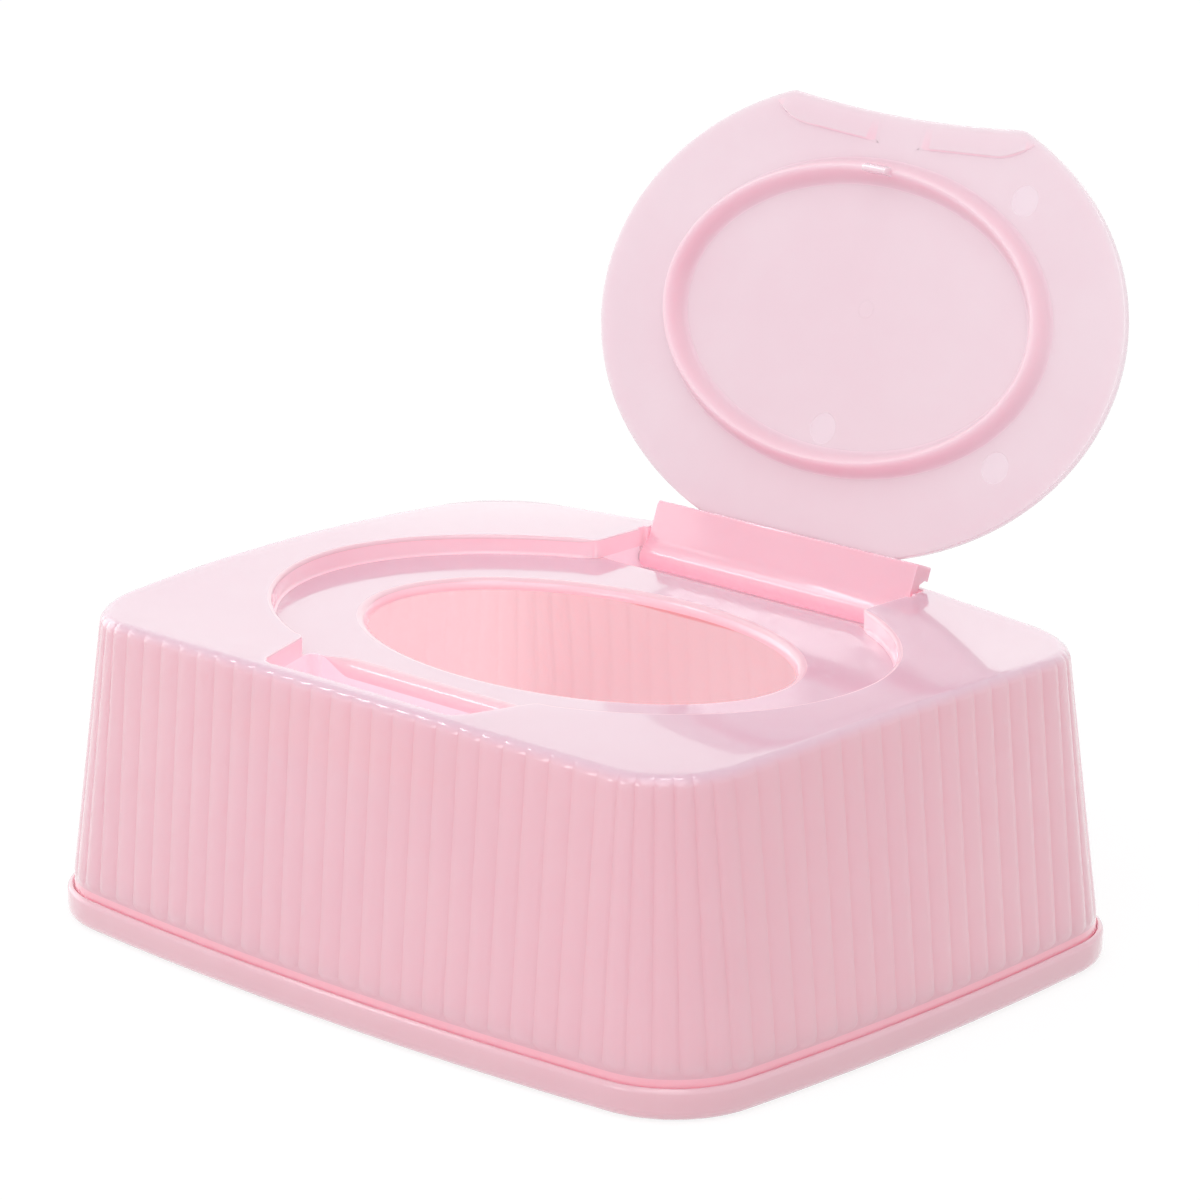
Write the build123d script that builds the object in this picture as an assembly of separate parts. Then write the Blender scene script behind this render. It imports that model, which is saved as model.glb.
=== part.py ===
from build123d import *
import os
from dataclasses import dataclass
from math import asin, atan2, cos, pi, radians, sin, sqrt

# Countertop wipes dispenser: a moulded box of three pieces. A base tray carries a tapered, reeded
# housing that lifts off for loading, and an oval flip lid hinges in a slot at the back of the deck.
# Millimetres. Origin: centre of the underside. +X along the front, +Y towards the hinge, +Z up.

# Overall size
FOOT_HALF_X, FOOT_HALF_Y = 90.0, 70.2     # housing wall at its foot
TOP_HALF_X, TOP_HALF_Y = 84.5, 65.5       # housing wall at the deck
DECK_Z = 65.3                             # deck height along its middle lines
CORNER_DROP = 2.8                         # fall of the deck at the corners of its bounding rectangle
SIDE_BOW, FRONT_BOW = 1.85, 3.2           # outward bow of the end walls and of the long walls
CORNER_RADIUS = 19.4
DECK_EDGE_RADIUS = 1.4

# Mouldings
WALL = 2.0                                # housing wall and pocket walls
DECK_THICKNESS = 2.2
HEM_BOTTOM_Z = 2.45                       # foot of the housing, resting in the tray
BEAD_TOP_Z = 6.4                          # top of the tray's bead, where the taper starts

# Reeds: upright half-round ribs all round the housing, counted in one quarter
REED_PITCH = 5.5
FRONT_REEDS, CORNER_REEDS, SIDE_REEDS = 12, 6, 9
QUARTER_REEDS = FRONT_REEDS + CORNER_REEDS + SIDE_REEDS
REED_HEIGHT, REED_ROOT = 0.45, 0.02       # crest and valley, outside the plain wall
REED_BOTTOM_Z = 9.0
REED_TOP_GAP = 1.5                        # reeds stop this far under the deck surface

# Deck features
RECESS_HALF_X, RECESS_HALF_Y = 69.8, 50.5
RECESS_FLOOR_Z = 61.2
FLOOR_THICKNESS = 2.2
RECESS_EDGE_RADIUS = 0.8
OPENING_HALF_X, OPENING_HALF_Y, OPENING_Y = 49.7, 31.7, -0.4
OPENING_EDGE_RADIUS = 2.0
NOTCH_FRONT_Y, NOTCH_BACK_Y = -61.9, -43.0
NOTCH_FRONT_HALF, NOTCH_BACK_HALF = 25.5, 32.0
NOTCH_FLOOR_Z = 52.0
NOTCH_CORNER_RADIUS, NOTCH_ROOT_RADIUS, NOTCH_ROLL_RADIUS = 2.0, 2.0, 3.0

# Hinge
HINGE_Y, HINGE_Z = 57.5, 59.1
OPEN_ANGLE = 111.6                        # lid turned back from closed, leaning on the rear edge
SLOT_HALF, SLOT_FRONT_Y, SLOT_BACK_Y, SLOT_FLOOR_Z = 36.0, 45.0, 62.4, 55.6
BARREL_RADIUS, PIN_RADIUS, BORE_RADIUS = 2.4, 1.6, 1.66
PANEL_HALF = 35.2
PIN_LENGTH, BORE_DEPTH, BOSS = 3.4, 3.8, 5.5
LEAD_IN_WIDTH, LEAD_IN_DEPTH = 2.4, 1.0

# Lid, measured closed
LID_HALF_X, LID_HALF_Y = 68.7, 49.5
LID_BACK_Y = 48.7                         # straight back edge, clear of the deck when open
LID_INNER_Z, LID_THICKNESS = 62.0, 2.2
LID_FRONT_Y, LID_FRONT_CORNER = -42.7, (30.5, -44.6)
LID_CORNER_RADIUS, LID_EDGE_RADIUS = 2.5, 1.2
RING_HEIGHT = 3.8
RING_OUTER_ROOT, RING_OUTER_TIP = (50.3, 32.2), (48.6, 30.7)
RING_INNER_ROOT, RING_INNER_TIP = (45.4, 27.8), (47.7, 29.8)
PANEL_FRONT_Y, PANEL_STEP_Y, PANEL_SLOPE = 45.6, 48.3, 1.0
PANEL_UNDER, PANEL_TOP = 3.6, 1.2         # panel faces below the lid's inner face
LEDGE_HALF, LEDGE_DEPTH, LEDGE_HEIGHT, LEDGE_GAP = 34.6, 6.2, 0.5, 10.0
CATCH_WIDTH, CATCH_LENGTH, CATCH_THICKNESS = 6.0, 5.8, 1.3
CATCH_BARB, CATCH_NOSE, CATCH_BACK = 0.45, 1.7, 0.5

# Base tray
BEAD_PROUD = 1.4                          # bead outside the foot of the wall
BEAD_BOTTOM_RADIUS, BEAD_TOP_RADIUS = 2.2, 1.0
TRAY_FLOOR = 2.4
LIP_GAP = 0.25                            # between housing foot and bead
UPSTAND_INSET, UPSTAND_THICKNESS, UPSTAND_TOP_Z = 2.8, 1.6, 10.5

SKY = 12.0                                # how far cutting bodies run past the deck


@dataclass(frozen=True)
class Outline:
    """Rounded rectangle with bowed sides; half sizes are taken at the middle of each side."""
    half_x: float
    half_y: float
    bow_x: float = SIDE_BOW
    bow_y: float = FRONT_BOW
    radius: float = CORNER_RADIUS

    def grown(self, amount):
        return Outline(self.half_x + amount, self.half_y + amount, self.bow_x, self.bow_y,
                       self.radius + amount)

    @property
    def corner(self):
        """Centre of the corner arc in the +X +Y quarter."""
        return (self.half_x - self.radius - self.bow_x, self.half_y - self.radius - self.bow_y)

    def face(self, z=0.0):
        """Planar face at height z: four bowed sides, offset to round the corners."""
        cx, cy = self.corner
        mid_x, mid_y = self.half_x - self.radius, self.half_y - self.radius
        sides = [ThreePointArc((-cx, -cy), (0, -mid_y), (cx, -cy)),
                 ThreePointArc((cx, -cy), (mid_x, 0), (cx, cy)),
                 ThreePointArc((cx, cy), (0, mid_y), (-cx, cy)),
                 ThreePointArc((-cx, cy), (-mid_x, 0), (-cx, -cy))]
        return Pos(0, 0, z) * offset(make_face(sides), amount=self.radius, kind=Kind.ARC)

    def long_side_point(self, x):
        """Point of the +Y side at x, and its outward normal, corner included."""
        cx, cy = self.corner
        inner = (self.bow_y ** 2 + cx ** 2) / (2 * self.bow_y)
        centre_y = self.half_y - self.radius - inner
        angle = asin(x / (inner + self.radius))
        if angle <= asin(cx / inner):
            reach = inner + self.radius
            return (x, centre_y + reach * cos(angle)), (sin(angle), cos(angle))
        angle = asin((x - cx) / self.radius)
        return (x, cy + self.radius * cos(angle)), (sin(angle), cos(angle))

    def end_point(self, y):
        """Point of the +X side at y, and its outward normal, corner included."""
        turned = Outline(self.half_y, self.half_x, self.bow_y, self.bow_x, self.radius)
        (along, out), (normal_along, normal_out) = turned.long_side_point(y)
        return (out, along), (normal_out, normal_along)

    def corner_angle(self, point):
        cx, cy = self.corner
        return atan2(point[1] - cy, point[0] - cx)

    def reed_station(self, s, proud):
        """Point at reed count s from the +Y middle line (whole numbers are crests), proud of the wall."""
        quarter, within = divmod(s, QUARTER_REEDS)
        quarter = int(quarter) % 4
        if quarter % 2:
            within = QUARTER_REEDS - within
        if within <= FRONT_REEDS:
            point, normal = self.long_side_point(within * REED_PITCH)
        elif within >= FRONT_REEDS + CORNER_REEDS:
            point, normal = self.end_point((QUARTER_REEDS - within) * REED_PITCH)
        else:
            start = self.corner_angle(self.long_side_point(FRONT_REEDS * REED_PITCH)[0])
            stop = self.corner_angle(self.end_point(SIDE_REEDS * REED_PITCH)[0])
            angle = start + (stop - start) * (within - FRONT_REEDS) / CORNER_REEDS
            cx, cy = self.corner
            normal = (cos(angle), sin(angle))
            point = (cx + self.radius * normal[0], cy + self.radius * normal[1])
        flip_x = -1 if quarter in (2, 3) else 1
        flip_y = -1 if quarter in (1, 2) else 1
        return (flip_x * (point[0] + proud * normal[0]), flip_y * (point[1] + proud * normal[1]))

    def reeded_face(self, z):
        """Scalloped face at height z: one arc per reed, from valley to valley over the crest."""
        arcs = []
        for reed in range(4 * QUARTER_REEDS):
            arcs.append(ThreePointArc(self.reed_station(reed - 0.5, REED_ROOT),
                                      self.reed_station(reed, REED_HEIGHT),
                                      self.reed_station(reed + 0.5, REED_ROOT)))
        return Pos(0, 0, z) * make_face(arcs)


FOOT = Outline(FOOT_HALF_X, FOOT_HALF_Y)
TOP = Outline(TOP_HALF_X, TOP_HALF_Y)


def at_height(z, inset=0.0):
    """Outline of the tapered wall at height z, moved inwards by inset."""
    share = (z - BEAD_TOP_Z) / (DECK_Z - BEAD_TOP_Z)
    half_x = FOOT.half_x + (TOP.half_x - FOOT.half_x) * share
    half_y = FOOT.half_y + (TOP.half_y - FOOT.half_y) * share
    return Outline(half_x, half_y).grown(-inset)


def above_deck(drop=0.0):
    """Solid over the deck surface, which is flat on its middle lines and falls to the corners."""
    reach_x, reach_y = TOP_HALF_X + SKY, TOP_HALF_Y + SKY
    fall = CORNER_DROP * (reach_x / TOP_HALF_X) ** 2 * (reach_y / TOP_HALF_Y) ** 2
    grid = [[Vector(i * reach_x, j * reach_y, DECK_Z - drop - fall * (1 if i else -1) * (1 if j else -1))
             for j in (-1, 0, 1)] for i in (-1, 0, 1)]
    return Solid.extrude(Face.make_bezier_surface(grid), Vector(0, 0, 3 * SKY))


def ellipse(half_x, half_y, y=0.0, z=0.0):
    return Pos(0, y, z) * Ellipse(half_x, half_y)


def between(sketch, z_low, z_high):
    """Straight prism of a sketch between two heights."""
    return extrude(Pos(0, 0, z_low) * sketch, amount=z_high - z_low, dir=(0, 0, 1))


def notch_sketch(grow=0.0):
    """Finger notch seen from above: a trapezium that widens towards the lid."""
    front, back = NOTCH_FRONT_Y - grow, NOTCH_BACK_Y + grow
    front_half, back_half = NOTCH_FRONT_HALF + grow, NOTCH_BACK_HALF + grow
    outline = Polyline((-front_half, front), (front_half, front), (back_half, back), (-back_half, back),
                       close=True)
    sketch = make_face(outline)
    return fillet(sketch.vertices(), NOTCH_CORNER_RADIUS + grow)


def slot_sketch(front_y=SLOT_FRONT_Y, grow_x=0.0, grow_y=0.0):
    centre = (front_y + SLOT_BACK_Y) / 2
    return Pos(0, centre) * Rectangle(2 * (SLOT_HALF + grow_x), SLOT_BACK_Y - front_y + 2 * grow_y)


def hinge_slot():
    """Slot for the lid's panel; above the recess floor it runs forward into the recess."""
    trench = between(slot_sketch(), SLOT_FLOOR_Z, DECK_Z + SKY)
    throat = between(slot_sketch(front_y=OPENING_HALF_Y), RECESS_FLOOR_Z, DECK_Z + SKY)
    return trench + throat


def housing_skin():
    """Outer form of the housing: straight hem, tapered wall, rounded deck edge and reeds."""
    hem = between(FOOT.face(), HEM_BOTTOM_Z, BEAD_TOP_Z)
    top_z = DECK_Z + 1.0
    taper = loft([FOOT.face(BEAD_TOP_Z), at_height(top_z).face(top_z)], ruled=True)
    skin = taper - above_deck()
    rim = skin.faces().sort_by(Axis.Z)[-1].outer_wire().edges()
    skin = fillet(rim, DECK_EDGE_RADIUS)
    reeds = loft([at_height(REED_BOTTOM_Z).reeded_face(REED_BOTTOM_Z),
                  at_height(top_z).reeded_face(top_z)], ruled=True)
    return skin + hem + (reeds - above_deck(REED_TOP_GAP))


def housing_pockets():
    """Solid blocks under the deck that the recess, the notch and the hinge slot are sunk into."""
    under_floor = RECESS_FLOOR_Z - FLOOR_THICKNESS
    recess = between(ellipse(RECESS_HALF_X + WALL, RECESS_HALF_Y + WALL), under_floor, DECK_Z + SKY)
    notch = between(notch_sketch(WALL), NOTCH_FLOOR_Z - WALL, DECK_Z + SKY)
    slot = between(slot_sketch(grow_x=BOSS, grow_y=WALL), SLOT_FLOOR_Z - WALL, DECK_Z + SKY)
    return recess + notch + slot


def housing_cavity():
    """Room for the wipes, open at the bottom."""
    hem = between(FOOT.grown(-WALL).face(), HEM_BOTTOM_Z - 1.0, BEAD_TOP_Z)
    taper = loft([FOOT.grown(-WALL).face(BEAD_TOP_Z), at_height(DECK_Z, WALL).face(DECK_Z)], ruled=True)
    return hem + (taper - above_deck(DECK_THICKNESS)) - housing_pockets()


def hinge_bores():
    """Blind bores for the lid's stub pins, each with a narrow lead-in groove down from the deck."""
    cuts = []
    for side in (-1, 1):
        wall_x = side * SLOT_HALF
        bore = Cylinder(BORE_RADIUS, BORE_DEPTH, rotation=(0, 90, 0))
        cuts.append(Pos(wall_x + side * BORE_DEPTH / 2, HINGE_Y, HINGE_Z) * bore)
        lead_in = Box(2 * LEAD_IN_DEPTH, LEAD_IN_WIDTH, DECK_Z + SKY - HINGE_Z)
        cuts.append(Pos(wall_x, HINGE_Y, (DECK_Z + SKY + HINGE_Z) / 2) * lead_in)
    return cuts


def recess_floor(housing):
    """The flat floor of the recess, its largest level face at that height."""
    level = housing.faces().filter_by(GeomType.PLANE).filter_by_position(
        Axis.Z, RECESS_FLOOR_Z - 0.01, RECESS_FLOOR_Z + 0.01)
    return level.sort_by(SortBy.AREA)[-1]


def ribbed_housing():
    recess = between(ellipse(RECESS_HALF_X, RECESS_HALF_Y), RECESS_FLOOR_Z, DECK_Z + SKY)
    opening = between(ellipse(OPENING_HALF_X, OPENING_HALF_Y, OPENING_Y), SLOT_FLOOR_Z, DECK_Z + SKY)
    notch = between(notch_sketch(), NOTCH_FLOOR_Z, DECK_Z + SKY)
    notch = fillet(notch.faces().sort_by(Axis.Z)[0].edges(), NOTCH_ROOT_RADIUS)
    housing = housing_skin() - housing_cavity() - recess
    deck_rim = housing.faces().filter_by(GeomType.BEZIER).sort_by(Axis.Z)[-1].inner_wires()[0].edges()
    housing = fillet(deck_rim, RECESS_EDGE_RADIUS) - opening
    housing = fillet(recess_floor(housing).inner_wires()[0].edges(), OPENING_EDGE_RADIUS)
    housing -= notch
    roll = recess_floor(housing).edges().filter_by(Axis.X).sort_by(Axis.Y)[0]
    housing = fillet(roll, NOTCH_ROLL_RADIUS)
    return housing - hinge_slot() - hinge_bores()


def lid_plate():
    """Oval disc with a shallow concave front edge over the finger notch."""
    corner_x, corner_y = LID_FRONT_CORNER
    bow = LID_FRONT_Y - corner_y
    arc_radius = (corner_x ** 2 + bow ** 2) / (2 * bow)
    sketch = ellipse(LID_HALF_X, LID_HALF_Y) - Pos(0, LID_FRONT_Y - arc_radius) * Circle(arc_radius)
    front_corners = sketch.vertices().filter_by_position(Axis.Y, corner_y - 2.0, corner_y + 2.0)
    sketch = fillet(front_corners, LID_CORNER_RADIUS)
    sketch -= Pos(0, LID_BACK_Y + SKY / 2) * Rectangle(2 * LID_HALF_X, SKY)
    plate = between(sketch, LID_INNER_Z, LID_INNER_Z + LID_THICKNESS)
    return fillet(plate.faces().sort_by(Axis.Z)[-1].edges(), LID_EDGE_RADIUS)


def cone_ring(root, tip, z_root, z_tip):
    """Elliptical cone between the root and tip half sizes."""
    return loft([ellipse(*root, OPENING_Y, z_root), ellipse(*tip, OPENING_Y, z_tip)], ruled=True)


def lid_ring():
    """Oval plug ring that drops into the mouth of the opening."""
    tip_z = LID_INNER_Z - RING_HEIGHT
    return (cone_ring(RING_OUTER_ROOT, RING_OUTER_TIP, LID_INNER_Z, tip_z)
            - cone_ring(RING_INNER_ROOT, RING_INNER_TIP, LID_INNER_Z, tip_z))


def lid_ledge():
    """Two low pads along the front edge, parted at the middle."""
    front = Pos(0, LID_FRONT_Y, LID_INNER_Z)
    strip = lid_plate() & front * Box(2 * LEDGE_HALF, 2 * LEDGE_DEPTH, 2 * LEDGE_HEIGHT)
    strip = Pos(0, 0, -LEDGE_HEIGHT) * strip
    return strip - front * Box(LEDGE_GAP, 3 * LEDGE_DEPTH, 4 * LEDGE_HEIGHT)


def lid_catch():
    """Snap tab on the ring: its barb passes the front edge of the opening and holds under it."""
    outer_y = OPENING_Y - RING_OUTER_TIP[1]
    inner_y = outer_y + CATCH_THICKNESS
    tip_z = LID_INNER_Z - CATCH_LENGTH
    barb_z = tip_z + CATCH_NOSE
    profile = Polyline((inner_y, LID_INNER_Z), (outer_y, LID_INNER_Z), (outer_y, barb_z + CATCH_BACK),
                       (outer_y - CATCH_BARB, barb_z), (outer_y, tip_z), (inner_y, tip_z), close=True)
    return extrude(Plane.YZ * make_face(profile), amount=CATCH_WIDTH / 2, both=True)


def hinge_panel():
    """Panel under the back of the lid that reaches into the slot, with its barrel and stub pins."""
    under_z, top_z = LID_INNER_Z - PANEL_UNDER, LID_INNER_Z - PANEL_TOP
    profile = Polyline((PANEL_FRONT_Y, under_z), (HINGE_Y, under_z), (HINGE_Y, top_z),
                       (PANEL_STEP_Y + PANEL_SLOPE, top_z), (PANEL_STEP_Y, LID_INNER_Z),
                       (PANEL_FRONT_Y, LID_INNER_Z), close=True)
    panel = extrude(Plane.YZ * make_face(profile), amount=PANEL_HALF, both=True)
    axle = Pos(0, HINGE_Y, HINGE_Z) * Rot(0, 90, 0)
    barrel = axle * Cylinder(BARREL_RADIUS, 2 * PANEL_HALF)
    pins = axle * Cylinder(PIN_RADIUS, 2 * (PANEL_HALF + PIN_LENGTH))
    return panel + barrel + pins


def flip_lid():
    """Lid built closed, then turned back about the hinge to where it rests open."""
    closed = lid_plate() + lid_ring() + lid_ledge() + lid_catch() + hinge_panel()
    hinge = Axis((0, HINGE_Y, HINGE_Z), (1, 0, 0))
    return closed.rotate(hinge, -OPEN_ANGLE)


def base_tray():
    """Floor with a rounded bead round its edge and an upstand that locates the housing."""
    block = between(FOOT.grown(BEAD_PROUD).face(), 0, BEAD_TOP_Z)
    block = fillet(block.faces().sort_by(Axis.Z)[0].edges(), BEAD_BOTTOM_RADIUS)
    block = fillet(block.faces().sort_by(Axis.Z)[-1].edges(), BEAD_TOP_RADIUS)
    well = between(FOOT.grown(LIP_GAP).face(), TRAY_FLOOR, BEAD_TOP_Z + SKY)
    upstand = (between(FOOT.grown(-UPSTAND_INSET).face(), TRAY_FLOOR, UPSTAND_TOP_Z)
               - between(FOOT.grown(-UPSTAND_INSET - UPSTAND_THICKNESS).face(), TRAY_FLOOR, UPSTAND_TOP_Z))
    return block - well + upstand


def main():
    os.makedirs("parts", exist_ok=True)
    pieces = {"base_tray": base_tray(), "ribbed_housing": ribbed_housing(), "flip_lid": flip_lid()}
    for name, piece in pieces.items():
        piece.label = name
        export_step(piece, f"parts/{name}.step")


if __name__ == "__main__":
    main()
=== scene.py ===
"""Countertop wipes dispenser: a tapered, reeded box on a base tray, its oval lid standing open.

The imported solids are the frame. Each of the three is dressed with a finer moulding of the same
piece: a base tray with a rounded bead, a reeded housing with a recessed deck, and a flip lid with
its plug ring, snap tab and hinge panel. Sizes are in millimetres unless a comment says otherwise,
and are turned to metres as a mesh is made. Heights are measured from the surface that the box
stands on; +X runs along the front, +Y to the hinge.
"""

import logging
import math
from dataclasses import dataclass, field, replace
from enum import Enum, IntEnum
from typing import Callable, Sequence

import bmesh
import bpy
import numpy as np
from mathutils import Matrix, Vector
from mathutils.geometry import delaunay_2d_cdt

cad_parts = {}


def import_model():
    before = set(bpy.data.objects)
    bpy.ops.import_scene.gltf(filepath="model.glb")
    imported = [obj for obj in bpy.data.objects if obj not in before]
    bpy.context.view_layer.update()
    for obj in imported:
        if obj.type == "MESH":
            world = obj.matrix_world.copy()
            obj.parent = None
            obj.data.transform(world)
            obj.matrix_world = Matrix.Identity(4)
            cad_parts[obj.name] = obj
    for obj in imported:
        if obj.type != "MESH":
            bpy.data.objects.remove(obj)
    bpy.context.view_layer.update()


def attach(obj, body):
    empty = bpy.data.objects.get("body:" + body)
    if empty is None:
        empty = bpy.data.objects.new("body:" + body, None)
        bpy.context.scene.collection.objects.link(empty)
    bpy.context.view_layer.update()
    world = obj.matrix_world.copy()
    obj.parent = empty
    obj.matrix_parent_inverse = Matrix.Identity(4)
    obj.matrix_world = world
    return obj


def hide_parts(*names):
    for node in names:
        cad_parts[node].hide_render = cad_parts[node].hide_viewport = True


LOG = logging.getLogger("wipes_dispenser")

MM = 0.001                      # one millimetre in metres
WELD = 0.004                    # points nearer than this are one point
EDGE_STEP = 0.8                 # spacing of points along an edge
LEAST_SPANS = 8                 # on any arc of an ellipse, however short
CURVE_STEPS = 5                 # spans in a rounded edge
EDGE_ROWS = CURVE_STEPS + 1     # spans from the flat beside a rounded edge to its far side
CREASE_ANGLE = 34.0             # edges sharper than this stay crisp
OVERSHOOT = 5.0                 # how far a cutting tool stands out over the deck
HALVINGS = 40                   # steps of a search that halves its range
TINT = "tint"                   # mesh attribute of painted light and shade, which the body colour is multiplied by

Points = np.ndarray             # rows of x, y or of x, y, z
Pair = tuple[float, float]
Triple = tuple[float, float, float]
Finishes = Sequence[bpy.types.Material]


class Side(Enum):
    """The two ends of the hinge, as signs along X."""

    LEFT = -1
    RIGHT = 1


class Cut(Enum):
    """How one solid is worked into another."""

    REMOVE = "DIFFERENCE"
    ADD = "UNION"


class TrayFinish(IntEnum):
    """Where each of the tray's finishes stands in its list."""

    OUTSIDE = 0
    # SEAM and INSIDE carry a painted glow.
    SEAM = 1
    INSIDE = 2


class HousingFinish(IntEnum):
    """Where each of the housing's finishes stands in its list."""

    OUTSIDE = 0
    # Every finish but OUTSIDE carries a painted glow.
    INSIDE = 1
    RECESS_WALL = 2
    FOOT = 3
    EDGES = 4
    POCKET = 5


class LidFinish(IntEnum):
    """Where each of the lid's finishes stands in its list."""

    # PLATE is painted pale for the light through it; HINGE_PANEL and PLUG_RING carry a painted
    # glow.
    PLATE = 0
    EJECTOR_MARK = 1
    HINGE_PANEL = 2
    PLUG_RING = 3


# ---- Colour ----

def linear(hex_colour: str) -> tuple[float, float, float, float]:
    """Turn an sRGB hex colour into linear light.

    Args:
        hex_colour: a colour such as "#f2c4cf".

    Returns:
        Red, green, blue and an alpha of one.
    """
    channels = [int(hex_colour[i:i + 2], 16) / 255 for i in (1, 3, 5)]
    light = [c / 12.92 if c <= 0.04045 else ((c + 0.055) / 1.055) ** 2.4 for c in channels]
    return (light[0], light[1], light[2], 1.0)


# ---- Curves in plan ----

def line(start: Sequence[float], stop: Sequence[float]) -> Points:
    """Evenly spaced points on a straight line.

    Args:
        start: its first point.
        stop: its last point.

    Returns:
        The points, both ends included.
    """
    start, stop = np.asarray(start, float), np.asarray(stop, float)
    spans = max(2, math.ceil(np.linalg.norm(stop - start) / EDGE_STEP))
    return start + np.linspace(0, 1, spans + 1)[:, None] * (stop - start)


def ellipse_arc(half_x: float, half_y: float, centre_y: float, start: float, stop: float) -> Points:
    """Points on an ellipse between two angles.

    Args:
        half_x: half width.
        half_y: half depth.
        centre_y: where the centre lies on the Y axis.
        start: first angle in radians, from +X towards +Y.
        stop: last angle.

    Returns:
        The points, about EDGE_STEP apart.
    """
    spans = max(LEAST_SPANS, math.ceil(abs(stop - start) * max(half_x, half_y) / EDGE_STEP))
    angles = np.linspace(start, stop, spans + 1)
    return np.column_stack([half_x * np.cos(angles), centre_y + half_y * np.sin(angles)])


def ellipse_loop(half_x: float, half_y: float, centre_y: float = 0.0, count: int = 240) -> Points:
    """A closed ellipse of count points, clockwise from the +Y side."""
    angles = math.pi / 2 - np.arange(count) * math.tau / count
    return np.column_stack([half_x * np.cos(angles), centre_y + half_y * np.sin(angles)])


def circle(centre: Sequence[float], radius: float, count: int) -> Points:
    """Points round a circle."""
    turn = np.arange(count) * math.tau / count
    return np.column_stack([centre[0] + radius * np.cos(turn), centre[1] + radius * np.sin(turn)])


def reaches_along(path: Points) -> np.ndarray:
    """How far along a path each of its points lies."""
    return np.concatenate([[0], np.cumsum(np.linalg.norm(np.diff(path, axis=0), axis=1))])


def trimmed(path: Points, from_start: float, from_stop: float) -> Points:
    """Cut a length off either end of a path and space its points evenly again.

    Args:
        path: points in plan.
        from_start: length to cut off where it starts.
        from_stop: length to cut off where it stops.

    Returns:
        The shorter path.
    """
    reach = reaches_along(path)
    spans = max(2, math.ceil((reach[-1] - from_start - from_stop) / EDGE_STEP))
    marks = np.linspace(from_start, reach[-1] - from_stop, spans + 1)
    return np.column_stack([np.interp(marks, reach, path[:, k]) for k in range(2)])


def eased_path(runs: Sequence[Points], reaches: Sequence[float]) -> Points:
    """Join runs end to end and round each corner between them.

    Args:
        runs: paths, each starting where the last one stops.
        reaches: for each corner, how far from it the rounding starts.

    Returns:
        One path from the start of the first run to the stop of the last.
    """
    before = [0.0, *reaches]
    after = [*reaches, 0.0]
    pieces = [trimmed(run, before[i], after[i]) for i, run in enumerate(runs)]
    path = [pieces[0]]
    share = np.linspace(0, 1, 2 * CURVE_STEPS + 1)[1:-1, None]
    for i in range(len(reaches)):
        start, corner, stop = pieces[i][-1], runs[i][-1], pieces[i + 1][0]
        path.append((1 - share) ** 2 * start + 2 * share * (1 - share) * corner + share ** 2 * stop)
        path.append(pieces[i + 1])
    return np.vstack(path)


def mirrored_loop(right_half: Points) -> Points:
    """Close a path that runs clockwise from the +Y axis to the -Y axis with its mirror image."""
    return np.vstack([right_half, right_half[-2:0:-1] * (-1, 1)])


def mirrored_values(half: np.ndarray) -> np.ndarray:
    """One value for each point of a mirrored loop, from those of its right half."""
    return np.concatenate([half, half[-2:0:-1]])


def outward(loop: Points) -> Points:
    """Unit normals of a clockwise loop, pointing away from its inside."""
    along = np.roll(loop, -1, axis=0) - np.roll(loop, 1, axis=0)
    return np.column_stack([-along[:, 1], along[:, 0]]) / np.linalg.norm(along, axis=1)[:, None]


def inside(points: Points, loop: Points) -> np.ndarray:
    """Even-odd test of points against a closed loop.

    Args:
        points: the points to test.
        loop: the loop's corners in order.

    Returns:
        One truth value for each point.
    """
    x, y = points[:, :1], points[:, 1:2]
    ax, ay = loop[:, 0], loop[:, 1]
    bx, by = np.roll(ax, -1), np.roll(ay, -1)
    spans = (ay > y) != (by > y)
    rise = np.where(by == ay, 1.0, by - ay)
    crossings = spans & (x < ax + (y - ay) * (bx - ax) / rise)
    return crossings.sum(axis=1) % 2 == 1


def edge_distance(points: Points, loop: Points) -> np.ndarray:
    """Distance from each point to the nearest corner of a finely divided loop."""
    return np.linalg.norm(points[:, None, :] - loop[None, :, :], axis=2).min(axis=1)


def soft_step(share: np.ndarray | float) -> np.ndarray | float:
    """Ease from 0 to 1 with level ends."""
    share = np.clip(share, 0.0, 1.0)
    return share * share * (3 - 2 * share)


def fade_ends(path: Points, length: float, hold: float = 0.0) -> np.ndarray:
    """Weights along a path: 0 at both ends and for a hold beside them, then easing to 1."""
    reach = reaches_along(path)
    return soft_step((np.minimum(reach, reach[-1] - reach) - hold) / length)


def quarter_turn(steps: int = CURVE_STEPS) -> list[Pair]:
    """Pairs (1 - sin, 1 - cos) from 0 to 90 degrees, for a rounded edge."""
    angles = [i * math.pi / 2 / steps for i in range(steps + 1)]
    return [(1 - math.sin(a), 1 - math.cos(a)) for a in angles]


# ---- Meshes ----

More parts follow.
